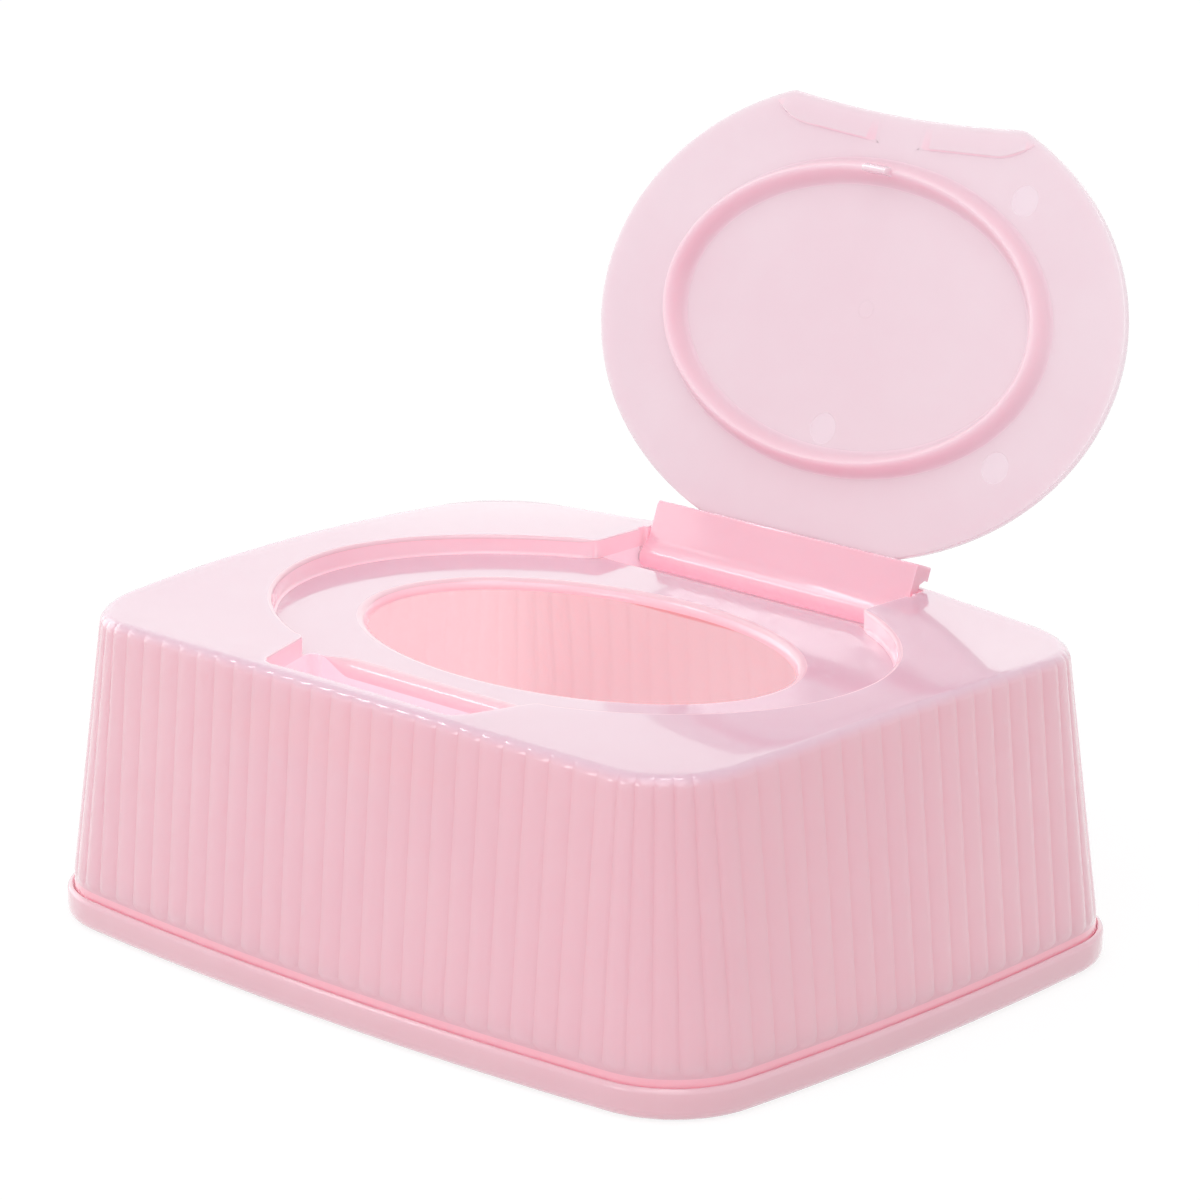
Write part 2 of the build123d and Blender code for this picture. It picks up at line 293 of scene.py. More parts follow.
@dataclass
class Shell:
    """Collects strips and filled areas in millimetres, welds them and makes one mesh object."""

    points: list[Triple] = field(default_factory=list)
    faces: list[tuple[int, ...]] = field(default_factory=list)
    finishes: list[int] = field(default_factory=list)

    def _face(self, corners: tuple[int, ...], finish: int) -> None:
        """Add one face with a finish number."""
        self.faces.append(corners)
        self.finishes.append(int(finish))

    def strip(self, rows: Sequence[Points], finish: int = 0) -> None:
        """Join closed rows of points with quads.

        Args:
            rows: arrays of x, y, z with the same number of points each.
            finish: number of the material for these faces.
        """
        count = len(rows[0])
        start = len(self.points)
        for row in rows:
            self.points.extend(map(tuple, row))
        for r in range(len(rows) - 1):
            low, high = start + r * count, start + (r + 1) * count
            for i in range(count):
                j = (i + 1) % count
                self._face((low + i, low + j, high + j, high + i), finish)

    def cap(self, row: Points, finish: int = 0) -> None:
        """Close a flat row of points with one face.

        Args:
            row: array of x, y, z.
            finish: number of the material for the face.
        """
        start = len(self.points)
        self.points.extend(map(tuple, row))
        self._face(tuple(range(start, start + len(row))), finish)

    def fill(self, outer: Points, holes: Sequence[Points], height: Callable[[Points], np.ndarray],
             inner_points: Points | None = None, finish: int = 0) -> None:
        """Cover the area between an outer loop and its holes.

        Args:
            outer: outer loop in plan.
            holes: loops in plan that stay open.
            height: gives z for points in plan.
            inner_points: further points in plan for the surface to pass through.
            finish: number of the material for these faces.
        """
        loops = [outer, *holes]
        plan = [Vector(p) for loop in loops for p in loop]
        edges, first = [], 0
        for loop in loops:
            edges += [(first + i, first + (i + 1) % len(loop)) for i in range(len(loop))]
            first += len(loop)
        if inner_points is not None:
            plan += [Vector(p) for p in inner_points]
        corner_places, _, triangles, *_ = delaunay_2d_cdt(plan, edges, [], 1, WELD / 10)
        flat = np.array([tuple(place) for place in corner_places])
        corners = np.array([t for t in triangles if len(t) == 3])
        middles = flat[corners].mean(axis=1)
        keep = inside(middles, outer)
        for hole in holes:
            keep &= ~inside(middles, hole)
        start = len(self.points)
        self.points.extend(map(tuple, np.column_stack([flat, height(flat)])))
        for triangle in corners[keep]:
            self._face(tuple(int(start + c) for c in triangle), finish)

    def along_x(self, side: Side = Side.RIGHT) -> "Shell":
        """Lay down a shape whose plan was drawn in Y and Z, so that its height runs along X."""
        self.points = [(side.value * x, y, z) for y, z, x in self.points]
        return self

    def mesh(self, name: str) -> bpy.types.Mesh:
        """Weld everything into one closed mesh in metres.

        Args:
            name: name of the mesh.

        Returns:
            The new mesh, with its faces pointing outwards.
        """
        mesh = bpy.data.meshes.new(name)
        mesh.from_pydata(self.points, [], self.faces)
        mesh.polygons.foreach_set("material_index", self.finishes)
        work = bmesh.new()
        work.from_mesh(mesh)
        bmesh.ops.remove_doubles(work, verts=work.verts, dist=WELD)
        bmesh.ops.dissolve_degenerate(work, edges=work.edges, dist=WELD / 4)
        loose = [v for v in work.verts if not v.link_faces]
        bmesh.ops.delete(work, geom=loose, context="VERTS")
        bmesh.ops.recalc_face_normals(work, faces=work.faces)
        open_edges = sum(1 for e in work.edges if len(e.link_faces) != 2)
        if open_edges:
            LOG.warning("%s has %d edges that don't join two faces", name, open_edges)
        bmesh.ops.transform(work, matrix=Matrix.Scale(MM, 4), verts=work.verts)
        work.to_mesh(mesh)
        work.free()
        return mesh


def level(height: float) -> Callable[[Points], np.ndarray]:
    """A height function for a level surface."""
    return lambda plan: np.full(len(plan), height)


def lifted(plan: Points, height: np.ndarray | float) -> Points:
    """Give points in plan a height."""
    return np.column_stack([plan, np.broadcast_to(height, len(plan))])


def prism(outline: Points, low: float, high: float) -> Shell:
    """A straight block over a loop in plan.

    Args:
        outline: the loop.
        low: height of its lower end.
        high: height of its upper end.

    Returns:
        Its faces, still to be made into a mesh.
    """
    shell = Shell()
    shell.strip([lifted(outline, low), lifted(outline, high)])
    shell.fill(outline, [], level(low))
    shell.fill(outline, [], level(high))
    return shell


def worked(base: bpy.types.Mesh, tools: Sequence[tuple[Cut, bpy.types.Mesh]]) -> bpy.types.Mesh:
    """Cut tools out of a solid, or join them to it, one after another.

    Args:
        base: the solid to work on.
        tools: for each step, what to do and the solid to do it with.

    Returns:
        The finished mesh.
    """
    scene = bpy.context.scene.collection
    body = bpy.data.objects.new(base.name, base)
    scene.objects.link(body)
    helpers = []
    for cut, mesh in tools:
        tool = bpy.data.objects.new(mesh.name, mesh)
        scene.objects.link(tool)
        helpers.append(tool)
        step = body.modifiers.new(mesh.name, "BOOLEAN")
        step.operation, step.object, step.solver = cut.value, tool, "EXACT"
    graph = bpy.context.evaluated_depsgraph_get()
    result = bpy.data.meshes.new_from_object(body.evaluated_get(graph))
    for spent in (body, *helpers):
        bpy.data.objects.remove(spent)
    weld = bmesh.new()
    weld.from_mesh(result)
    bmesh.ops.remove_doubles(weld, verts=weld.verts, dist=WELD * MM / 2)
    bmesh.ops.dissolve_degenerate(weld, edges=weld.edges, dist=WELD * MM / 4)
    weld.to_mesh(result)
    weld.free()
    return result


def places(mesh: bpy.types.Mesh) -> Points:
    """Read where a mesh's vertices are.

    Args:
        mesh: the mesh.

    Returns:
        Their places in millimetres.
    """
    flat = np.empty(3 * len(mesh.vertices))
    mesh.vertices.foreach_get("co", flat)
    return flat.reshape(-1, 3) / MM


def tinted(mesh: bpy.types.Mesh,
           tints: Sequence[tuple[np.ndarray, Triple]]) -> bpy.types.Mesh:
    """Write the mesh's tint of painted light and shade: white where nothing else is asked for.

    Args:
        mesh: the mesh.
        tints: for each, its share at every vertex from 0 to 1, and its red, green and blue factors.

    Returns:
        The same mesh.
    """
    factors = np.ones((len(mesh.vertices), 4))
    for share, tint in tints:
        factors[:, :3] *= 1 + np.clip(share, 0.0, 1.0)[:, None] * (np.array(tint) - 1)
    mesh.attributes.new(TINT, "FLOAT_COLOR", "POINT").data.foreach_set("color", factors.ravel())
    return mesh


def finished(mesh: bpy.types.Mesh, materials: Finishes,
             number: int | None = None) -> bpy.types.Mesh:
    """Give a mesh its finishes where it has none yet.

    Args:
        mesh: the mesh.
        materials: finishes in the order of the mesh's finish numbers.
        number: the finish for all of its faces; without it each keeps its own.

    Returns:
        The same mesh.
    """
    if number is not None:
        mesh.polygons.foreach_set("material_index", [number] * len(mesh.polygons))
    for material in materials[len(mesh.materials):]:
        mesh.materials.append(material)
    return mesh


def smoothed(mesh: bpy.types.Mesh, name: str, materials: Finishes) -> bpy.types.Object:
    """Make the finished object of a mesh, smooth but for its creases.

    Args:
        mesh: mesh in metres.
        name: name of the new object.
        materials: finishes in the order of the mesh's finish numbers.

    Returns:
        The object, linked to the scene.
    """
    mesh.name = name
    finished(mesh, materials).shade_smooth()
    mesh.set_sharp_from_angle(angle=math.radians(CREASE_ANGLE))
    piece = bpy.data.objects.new(name, mesh)
    bpy.context.scene.collection.objects.link(piece)
    return piece


# ---- The box's plan ----

@dataclass(frozen=True)
class Outline:
    """Rounded rectangle with bowed sides, in plan; half sizes are at the middle of each side."""

    half_x: float
    half_y: float
    bow_x: float = 1.85             # outward bow of the end walls
    bow_y: float = 3.2              # outward bow of the long walls
    radius: float = 19.4            # corner radius

    def grown(self, amount: float) -> "Outline":
        """The same outline moved outwards by an amount."""
        return replace(self, half_x=self.half_x + amount, half_y=self.half_y + amount,
                       radius=self.radius + amount)

    @property
    def corner(self) -> Pair:
        """Centre of the corner arc in the +X +Y quarter."""
        return self.half_x - self.radius - self.bow_x, self.half_y - self.radius - self.bow_y

    def long_side(self, x: float) -> tuple[np.ndarray, np.ndarray]:
        """Find a point of the +Y side, or of the corner where x reaches it.

        Args:
            x: the point's x.

        Returns:
            The point and its outward unit normal.
        """
        cx, cy = self.corner
        inner = (self.bow_y ** 2 + cx ** 2) / (2 * self.bow_y)
        reach = inner + self.radius
        angle = math.asin(x / reach)
        if angle <= math.asin(cx / inner):
            centre = np.array([0.0, self.half_y - reach])
            normal = np.array([math.sin(angle), math.cos(angle)])
            return centre + reach * normal, normal
        angle = math.asin((x - cx) / self.radius)
        normal = np.array([math.sin(angle), math.cos(angle)])
        return np.array([cx, cy]) + self.radius * normal, normal

    def short_side(self, y: float) -> tuple[np.ndarray, np.ndarray]:
        """Find a point of the +X side, or of the corner where y reaches it.

        Args:
            y: the point's y.

        Returns:
            The point and its outward unit normal.
        """
        turned = Outline(self.half_y, self.half_x, self.bow_y, self.bow_x, self.radius)
        point, normal = turned.long_side(y)
        return point[::-1], normal[::-1]

    def round_corner(self, x: float, y: float, share: float) -> tuple[np.ndarray, np.ndarray]:
        """Find a point part of the way along the outline from the +Y side to the +X side.

        Args:
            x: where the way starts on the +Y side.
            y: where it stops on the +X side.
            share: how much of it is gone, more than 0 and less than 1.

        Returns:
            The point and its outward unit normal.
        """
        cx, cy = self.corner
        long_bend = (self.bow_y ** 2 + cx ** 2) / (2 * self.bow_y)
        short_bend = (self.bow_x ** 2 + cy ** 2) / (2 * self.bow_x)
        reaches = (long_bend + self.radius, self.radius, short_bend + self.radius)
        centres = ((0.0, self.half_y - reaches[0]), (cx, cy), (self.half_x - reaches[2], 0.0))
        ends = self.long_side(x), self.short_side(y)
        first, last = (math.atan2(*normal) for _, normal in ends)
        turns = (math.asin(cx / long_bend), math.pi / 2 - math.asin(cy / short_bend))
        marks = [first, *(min(max(turn, first), last) for turn in turns), last]
        runs = [reach * (stop - start) for reach, start, stop in zip(reaches, marks, marks[1:])]
        left, arc = share * sum(runs), 0
        while left > runs[arc]:
            left -= runs[arc]
            arc += 1
        angle = marks[arc] + left / reaches[arc]
        normal = np.array([math.sin(angle), math.cos(angle)])
        return np.array(centres[arc]) + reaches[arc] * normal, normal


@dataclass(frozen=True)
class Reeding:
    """Upright reeds round the box, counted in one quarter from the +Y middle to the +X middle.

    Their pitch is even along each side and shared out evenly round each corner.
    """

    pitch: float = 5.5
    long_side: int = 12
    corner: int = 6
    short_side: int = 9
    height: float = 0.32            # crest over the plain wall
    root: float = 0.02              # valley over the plain wall
    fullness: float = 2.5           # above 2, crests are broader and valleys narrower
    stations: tuple[float, ...] = (-0.5, -0.465, -0.41, -0.33, -0.23, -0.12,
                                   0.0, 0.12, 0.23, 0.33, 0.41, 0.465)

    @property
    def quarter(self) -> int:
        """Reeds in one quarter."""
        return self.long_side + self.corner + self.short_side

    def counts(self, stations: Sequence[float]) -> list[float]:
        """Reed counts all the way round: whole numbers are crests."""
        return [reed + station for reed in range(4 * self.quarter) for station in stations]

    def place(self, outline: Outline, count: float) -> tuple[np.ndarray, np.ndarray]:
        """Find the point of an outline at a reed count, clockwise from the +Y middle.

        Args:
            outline: the plain wall's outline at some height.
            count: how many reeds round; whole numbers are crests.

        Returns:
            The point and its outward unit normal.
        """
        quarter, within = divmod(count, self.quarter)
        quarter = int(quarter) % 4
        within = self.quarter - within if quarter % 2 else within
        if within <= self.long_side:
            point, normal = outline.long_side(within * self.pitch)
        elif within >= self.long_side + self.corner:
            point, normal = outline.short_side((self.quarter - within) * self.pitch)
        else:
            point, normal = outline.round_corner(
                self.long_side * self.pitch, self.short_side * self.pitch,
                (within - self.long_side) / self.corner)
        flip = np.array([-1.0 if quarter in (2, 3) else 1.0, -1.0 if quarter in (1, 2) else 1.0])
        return point * flip, normal * flip

    def ring(self, outline: Outline, counts: Sequence[float]) -> tuple[Points, Points]:
        """Points and normals of an outline at many reed counts."""
        placed = [self.place(outline, count) for count in counts]
        return np.array([p for p, _ in placed]), np.array([n for _, n in placed])

    def relief(self, counts: Sequence[float], ending: float = 0.0) -> np.ndarray:
        """How far the wall stands out at each reed count.

        Args:
            counts: reed counts.
            ending: 0 along the reed, rising to 1 where its rounded end closes.

        Returns:
            Heights over the plain wall.
        """
        counts = np.asarray(counts)
        across = np.abs(counts - np.round(counts)) * 2
        share = np.clip(1 - across ** self.fullness - ending ** 2, 0.0, 1.0)
        return self.root + (self.height - self.root) * share


@dataclass(frozen=True)
class Taper:
    """The wall's lean between the top of the tray's bead and the deck, and the deck's own shape."""

    foot: Outline = Outline(90.0, 70.2)
    top: Outline = Outline(84.5, 65.5)
    bead_z: float = 6.4
    deck_z: float = 65.3            # along the middle lines
    corner_drop: float = 2.8        # fall of the deck at the corners of its bounding rectangle

    def at(self, z: float) -> Outline:
        """Find the plain wall's outline at a height.

        Args:
            z: the height.

        Returns:
            The outline there.
        """
        share = max(0.0, (z - self.bead_z) / (self.deck_z - self.bead_z))
        half_x = self.foot.half_x + (self.top.half_x - self.foot.half_x) * share
        half_y = self.foot.half_y + (self.top.half_y - self.foot.half_y) * share
        return Outline(half_x, half_y)

    def deck(self, plan: Points, under: float = 0.0) -> np.ndarray:
        """Height of the deck over points in plan, or of a surface some way under it."""
        share = (plan[:, 0] / self.top.half_x) ** 2 * (plan[:, 1] / self.top.half_y) ** 2
        return self.deck_z - under - self.corner_drop * share


@dataclass(frozen=True)
class Hinge:
    """The line along X that the lid turns about."""

    y: float = 57.5
    z: float = 59.1

    @property
    def centre(self) -> Pair:
        """Where it crosses a section in Y and Z."""
        return self.y, self.z


# ---- Base tray ----

@dataclass
class BaseTray:
    """Shallow tray under the housing: floor, rounded bead round its edge, locating upstand."""

    taper: Taper
    reeding: Reeding
    bead_proud: float = 1.4         # bead outside the foot of the wall
    bead_foot_radius: float = 2.2
    bead_top_radius: float = 1.0
    lip_gap: float = 0.08           # between bead and housing
    floor: float = 2.4
    upstand_inset: float = 2.8
    upstand_width: float = 1.6
    upstand_top: float = 10.5
    edge_radius: float = 0.35       # small moulded edges
    columns: tuple[float, ...] = (-0.5, -0.25, 0.0, 0.25)

    def profile(self) -> list[Pair]:
        """Work out the section from the underside over the bead to the floor.

        Returns:
            Offsets outwards from the housing's foot, each with its height.
        """
        foot, top, edge = self.bead_foot_radius, self.bead_top_radius, self.edge_radius
        out, high = self.bead_proud, self.taper.bead_z
        section = [(out - foot - edge, 0.0)]
        section += [(out - foot * a, foot * b) for a, b in quarter_turn()]
        section += [(out - top * b, high - top * a) for a, b in quarter_turn()]
        gap, low, ridge = self.lip_gap, self.floor, self.upstand_top
        section += [(gap + edge, high), (gap, high - edge), (gap, low)]
        outer, inner = -self.upstand_inset, -self.upstand_inset - self.upstand_width
        section += [(outer + edge, low), (outer, low + edge), (outer, ridge - edge),
                    (outer - edge, ridge), (inner + edge, ridge), (inner, ridge - edge),
                    (inner, low + edge), (inner - edge, low)]
        return section

    def mesh(self) -> bpy.types.Mesh:
        """Sweep the section round the foot and close the underside and the floor.

        Returns:
            The tray's mesh.
        """
        counts = self.reeding.counts(self.columns)
        plan, normals = self.reeding.ring(self.taper.foot, counts)
        rows = [lifted(plan + normals * offset, z) for offset, z in self.profile()]
        # Over the bead, down its inner side in the seam, over the upstand, and down to the floor.
        shell, lip = Shell(), 2 * EDGE_ROWS + 1
        shell.strip(rows[:lip + 1])
        shell.strip(rows[lip:lip + 3], TrayFinish.SEAM)
        shell.strip(rows[lip + 2:-4])
        shell.strip(rows[-5:], TrayFinish.INSIDE)
        shell.fill(rows[0][:, :2], [], level(0.0))
        shell.fill(rows[-1][:, :2], [], level(self.floor), finish=TrayFinish.INSIDE)
        return shell.mesh("base_tray_moulding")

    def build(self, finishes: Finishes) -> bpy.types.Object:
        """Make the tray, ride it on its body and put it in place of its solid.

        Args:
            finishes: one for each TrayFinish, in its order.

        Returns:
            The finished piece.
        """
        piece = smoothed(tinted(self.mesh(), []), "base_tray_moulding", finishes)
        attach(piece, "base")
        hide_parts("base_tray")
        return piece


# ---- Housing ----

@dataclass
class DeckPlan:
    """Edges sunk into the deck, each as the right half of a loop, clockwise seen from above.

    The recess, the finger notch and the hinge slot run into one another. The corner where the
    slot's front edge meets the recess, and the one where the notch does, are shared points.
    """

    recess: Pair = (69.8, 50.5)
    opening: Pair = (49.7, 31.7)
    opening_y: float = -0.4
    slot_half: float = 36.0
    slot_front: float = 45.0
    slot_back: float = 62.4
    notch_front: Pair = (25.5, -61.9)
    notch_back: Pair = (32.0, -43.0)
    slot_ease: float = 0.8          # where the rounding of each plan corner starts
    throat_ease: float = 1.5
    notch_ease: float = 1.6
    notch_corner_ease: float = 3.0
    notch_rear_ease: float = 2.9

    def __post_init__(self) -> None:
        """Work out the shared edges once."""
        half_x, half_y = self.recess
        throat = math.acos(self.slot_half / half_x)
        front, back = np.array(self.notch_front), np.array(self.notch_back)
        meeting = self._notch_meets_recess(front, back)
        notch_angle = math.atan2(meeting[1] / half_y, meeting[0] / half_x)
        arc = ellipse_arc(half_x, half_y, 0.0, throat, notch_angle)
        lean = (front - back) / np.linalg.norm(front - back)
        joint = meeting + lean * self.notch_ease
        hinge_corner = (self.slot_half, self.slot_front)
        back_corner = (self.slot_half, self.slot_back)
        self.slot_side = eased_path([line((0, self.slot_back), back_corner),
                                     line(back_corner, hinge_corner)], [self.slot_ease])
        past_joint = line(meeting, meeting + 2 * lean * self.notch_ease)
        self.recess_side = eased_path([line(hinge_corner, arc[0]), arc, past_joint],
                                      [self.throat_ease, self.notch_ease])
        self.recess_side = self.recess_side[:self._nearest(self.recess_side, joint) + 1]
        joint = self.recess_side[-1]
        self.notch_side = eased_path([line(joint, front), line(front, (0, front[1]))],
                                     [self.notch_corner_ease])
        self.slot_lip = line(hinge_corner, (0, self.slot_front))
        self.notch_rear = eased_path([line((0, back[1]), back), line(back, joint)],
                                     [self.notch_rear_ease])

    def _notch_meets_recess(self, front: np.ndarray, back: np.ndarray) -> np.ndarray:
        """Find where the notch's side crosses the recess's rim.

        Args:
            front: front end of the notch's side.
            back: its back end, under the recess.

        Returns:
            The crossing, in plan.
        """
        low, high = 0.0, 1.0
        for _ in range(HALVINGS):
            share = (low + high) / 2
            point = front + (back - front) * share
            beyond = math.hypot(point[0] / self.recess[0], point[1] / self.recess[1]) > 1
            low, high = (share, high) if beyond else (low, share)
        return front + (back - front) * low

    @staticmethod
    def _nearest(path: Points, point: np.ndarray) -> int:
        """Index of the path's point nearest to a point."""
        return int(np.argmin(np.linalg.norm(path - point, axis=1)))

    def rim(self) -> Points:
        """Closed edge of everything sunk into the deck."""
        return mirrored_loop(np.vstack([self.slot_side, self.recess_side[1:], self.notch_side[1:]]))

    def slot(self) -> Points:
        """Closed edge of the hinge slot under the recess floor."""
        return mirrored_loop(np.vstack([self.slot_side, self.slot_lip[1:]]))

    def notch(self) -> Points:
        """Closed edge of the finger notch under the recess floor."""
        return mirrored_loop(np.vstack([self.notch_rear, self.notch_side[1:]]))


@dataclass
class Housing:
    """Tapered, reeded box: deck with recess, dispensing opening, finger notch and hinge slot."""

    taper: Taper
    reeding: Reeding
    plan: DeckPlan
    hinge: Hinge
    hem_z: float = 2.45
    wall: float = 2.0
    deck_thickness: float = 2.2
    reed_foot: float = 8.2          # where the reeds' rounded lower ends begin
    reed_full: float = 9.9          # where they reach their full height
    reed_clear: float = 0.3         # wall without relief just under them
    reed_end_rows: int = 8          # rows of points over the rounded ends
    edge_radius: float = 2.0        # deck edge
    edge_rows: int = 8              # rows of points over it
    crest_fade: float = 1.2         # above 1, the crests die away early over it
    slot_edge_radius: float = 1.3   # deck edge beside the hinge slot, which comes close to it
    slot_reach: Pair = (38.0, 46.0)     # x up to which it is the smaller, and from which the larger
    recess_z: float = 61.2
    recess_rim_radius: float = 0.8
    pocket_rim_radius: float = 0.3  # rim of notch and slot
    recess_root_radius: float = 0.7
    floor_thickness: float = 2.2
    opening_radius: float = 2.0     # rounded mouth of the opening
    mouth_steps: int = 8            # spans in it
    mouth_bright: int = 6           # rows of it that have the finish of the edges
    mouth_hold: float = 1.4         # floor thicknesses down to where it is held straight
    notch_z: float = 52.0
    notch_roll: float = 3.0         # soft rear edge of the notch
    slot_z: float = 55.6
    notch_root_radius: float = 0.9
    slot_root_radius: float = 0.4
    slot_lip_radius: float = 0.4
    support: float = 0.15           # narrow flat band beside each rounded edge
    pocket_wall: float = 2.0
    boss: float = 5.5               # thickness at the hinge bores
    inner_ripple: float = 0.16      # reeds as they show on the inside of the wall
    inner_radius: float = 1.4       # under the deck edge
    inner_stations: tuple[float, ...] = (-0.5, -0.42, -0.25, 0.0, 0.25, 0.42)
    inner_rows: tuple[float, ...] = (0.05, 0.3, 0.6, 0.9, 1.0)  # by height; the first is plain
    below_hem: float = 2.0          # how far the tool that cuts the inside reaches under the hem
    bore_radius: float = 1.66
    bore_depth: float = 3.8
    bore_points: int = 48
    groove: Pair = (2.4, 1.0)       # lead-in groove for the pins: width and depth
    groove_corner: float = 0.3
    overlap: float = 0.5            # by which bores and grooves start inside the slot

    # Painted reflection: a lavender cast on deck, deck edge and recess floor for the white they
    # mirror.
    deck_painted_reflection: Triple = (0.91, 1.035, 1.085)
    # Painted glow: a warmer, fuller pink just over the bead, which lifts the shade that it casts.
    foot_painted_glow: Triple = (1.08, 0.93, 0.96)
    foot_fade: float = 4.0          # height over which the foot's painted glow dies away
    recess_tint_z: float = 60.0     # height down to which the recess has the deck's painted reflection

    # The rows that only hold a straight stretch of wall are placed by share of its height, and the
    # points that hold the deck and the ceiling by share of the way out to their edge.
    wall_rows: tuple[float, ...] = (0.15, 0.35, 0.6, 0.85)
    deck_rings: tuple[float, ...] = (0.965, 0.925, 0.885, 0.84, 0.79, 0.74)
    deck_skip: int = 9              # a deck ring has one in so many of the edge's points
    deck_clear: float = 1.5         # kept free of them round everything sunk into the deck
    ceiling_rings: tuple[float, ...] = (0.9, 0.8, 0.6, 0.4, 0.2)
    ceiling_skip: int = 12
    fade: float = 4.0               # length over which a rounding dies out at a shared corner

    def _edge_height(self, count: float) -> float:
        """Find the height at which the plain wall meets the deck.

        Args:
            count: reed count, clockwise from the +Y middle.

        Returns:
            The height there.
        """
        z = self.taper.deck_z
        for _ in range(3):
            point, _normal = self.reeding.place(self.taper.at(z), count)
            z = float(self.taper.deck(point[None, :])[0])
        return z

    def wall_strips(self, shell: Shell) -> Points:
        """Lay the outer wall from its hem to the deck.

        Args:
            shell: where the faces go.

        Returns:
            The inner edge of the rounded deck edge, in plan.
        """
        reeding, taper = self.reeding, self.taper
        counts = reeding.counts(reeding.stations)
        hem, _ = reeding.ring(taper.foot, counts)
        rows = [lifted(hem, self.hem_z), lifted(hem, taper.bead_z)]
        end_rows = np.linspace(self.reed_foot, self.reed_full, self.reed_end_rows)
        for z in (self.reed_foot - self.reed_clear, *end_rows):
            plan, normals = reeding.ring(taper.at(z), counts)
            ending = (self.reed_full - z) / (self.reed_full - self.reed_foot)
            relief = np.full(len(counts), reeding.root)
            if ending <= 1:
                relief = reeding.relief(counts, max(0.0, ending))
            rows.append(lifted(plan + normals * relief[:, None], z))
        edges = np.array([self._edge_height(count) for count in counts])
        crest = reeding.relief(counts)
        corner, normals = self._at_heights(counts, edges)
        radii = self._edge_radii(corner)
        below, _ = self._at_heights(counts, edges - radii)
        for share in self.wall_rows:
            heights = self.reed_full + (edges - radii - self.reed_full) * share
            plan, _ = self._at_heights(counts, heights)
            rows.append(lifted(plan + normals * crest[:, None], heights))
        deck_side = corner - normals * radii[:, None]
        weight = math.sqrt(0.5)         # of the middle point, which makes the curve a circle's arc
        for share in np.linspace(0, 1, self.edge_rows):
            start, middle, stop = (1 - share) ** 2, 2 * weight * share * (1 - share), share ** 2
            total = start + middle + stop
            plan = (start * below + middle * corner + stop * deck_side) / total
            heights = start * (edges - radii) + middle * edges + stop * taper.deck(deck_side)
            relief = crest * (1 - share) ** self.crest_fade
            rows.append(lifted(plan + normals * relief[:, None], heights / total))
        rows[-1] = lifted(deck_side, taper.deck(deck_side))
        shell.strip(rows[:3], HousingFinish.FOOT)
        shell.strip(rows[2:])
        shell.fill(rows[0][:, :2], [], level(self.hem_z))
        return deck_side

    def _edge_radii(self, corner: Points) -> np.ndarray:
        """Work out the radius of the deck edge, which is smaller beside the hinge slot.

        Args:
            corner: points in plan where wall and deck would meet.

        Returns:
            The radius at each point.
        """
        near, far = self.slot_reach
        beside = soft_step((far - np.abs(corner[:, 0])) / (far - near)) * (corner[:, 1] > 0)
        return self.edge_radius - (self.edge_radius - self.slot_edge_radius) * beside

    def _at_heights(self, counts: Sequence[float], heights: np.ndarray) -> tuple[Points, Points]:
        """Points and normals of the plain wall where each reed count has a height of its own."""
        placed = [self.reeding.place(self.taper.at(z), c) for c, z in zip(counts, heights)]
        return np.array([p for p, _ in placed]), np.array([n for _, n in placed])

    def rim_strips(self, shell: Shell) -> tuple[Points, Points]:
        """Lay the rounded rim and the upright wall of everything sunk into the deck.

        Args:
            shell: where the faces go.

        Returns:
            The rim's outer edge on the deck, and the wall's foot on the recess floor, in plan.
        """
        plan = self.plan
        rim = plan.rim()
        normals = outward(rim)
        bump = fade_ends(plan.recess_side, self.fade, plan.throat_ease)
        half = [np.zeros(len(plan.slot_side) - 1), bump, np.zeros(len(plan.notch_side) - 1)]
        weight = mirrored_values(np.concatenate(half))[:, None]
        radius = self.pocket_rim_radius + (self.recess_rim_radius - self.pocket_rim_radius) * weight
        rows = []
        outer = rim + normals * (radius + self.support)
        rows.append(lifted(outer, self.taper.deck(outer)))
        for out, down in quarter_turn():
            at = rim + normals * radius * out
            rows.append(lifted(at, self.taper.deck(at) - radius[:, 0] * down))
        root = self.recess_root_radius * weight
        for back, up in quarter_turn():
            at = rim - normals * root * up
            rows.append(lifted(at, self.recess_z + root[:, 0] * back))
        foot = rim - normals * (root + self.support * weight)
        rows.append(lifted(foot, self.recess_z))
        shell.strip(rows[:EDGE_ROWS + 1], HousingFinish.EDGES)
        shell.strip(rows[EDGE_ROWS:-1], HousingFinish.RECESS_WALL)
        shell.strip(rows[-2:])
        return outer, foot

    def pocket(self, shell: Shell, loop: Points, lip: np.ndarray, floor_z: float,
               root: float) -> Points:
        """Lay one pocket's wall and floor under the level of the recess floor.

        Args:
            shell: where the faces go.
            loop: the pocket's closed edge.
            lip: for each point, the radius of the rounding at the top.
            floor_z: height of its floor.
            root: radius between wall and floor.

        Returns:
            The outer edge of the lip on the recess floor, in plan.
        """
        normals = outward(loop)
        radius = lip[:, None]
        outer = loop + normals * (radius + self.support * (radius > 0))
        rows = [lifted(outer, self.recess_z)]
        for out, down in quarter_turn():
            rows.append(lifted(loop + normals * radius * out, self.recess_z - lip * down))
        for back, up in quarter_turn():
            rows.append(lifted(loop - normals * root * up, floor_z + root * back))
        inner = loop - normals * (root + self.support)
        rows.append(lifted(inner, floor_z))
        shell.strip(rows[:EDGE_ROWS + 1], HousingFinish.EDGES)
        shell.strip(rows[EDGE_ROWS:], HousingFinish.POCKET)
        shell.fill(inner, [], level(floor_z), finish=HousingFinish.POCKET)
        return outer

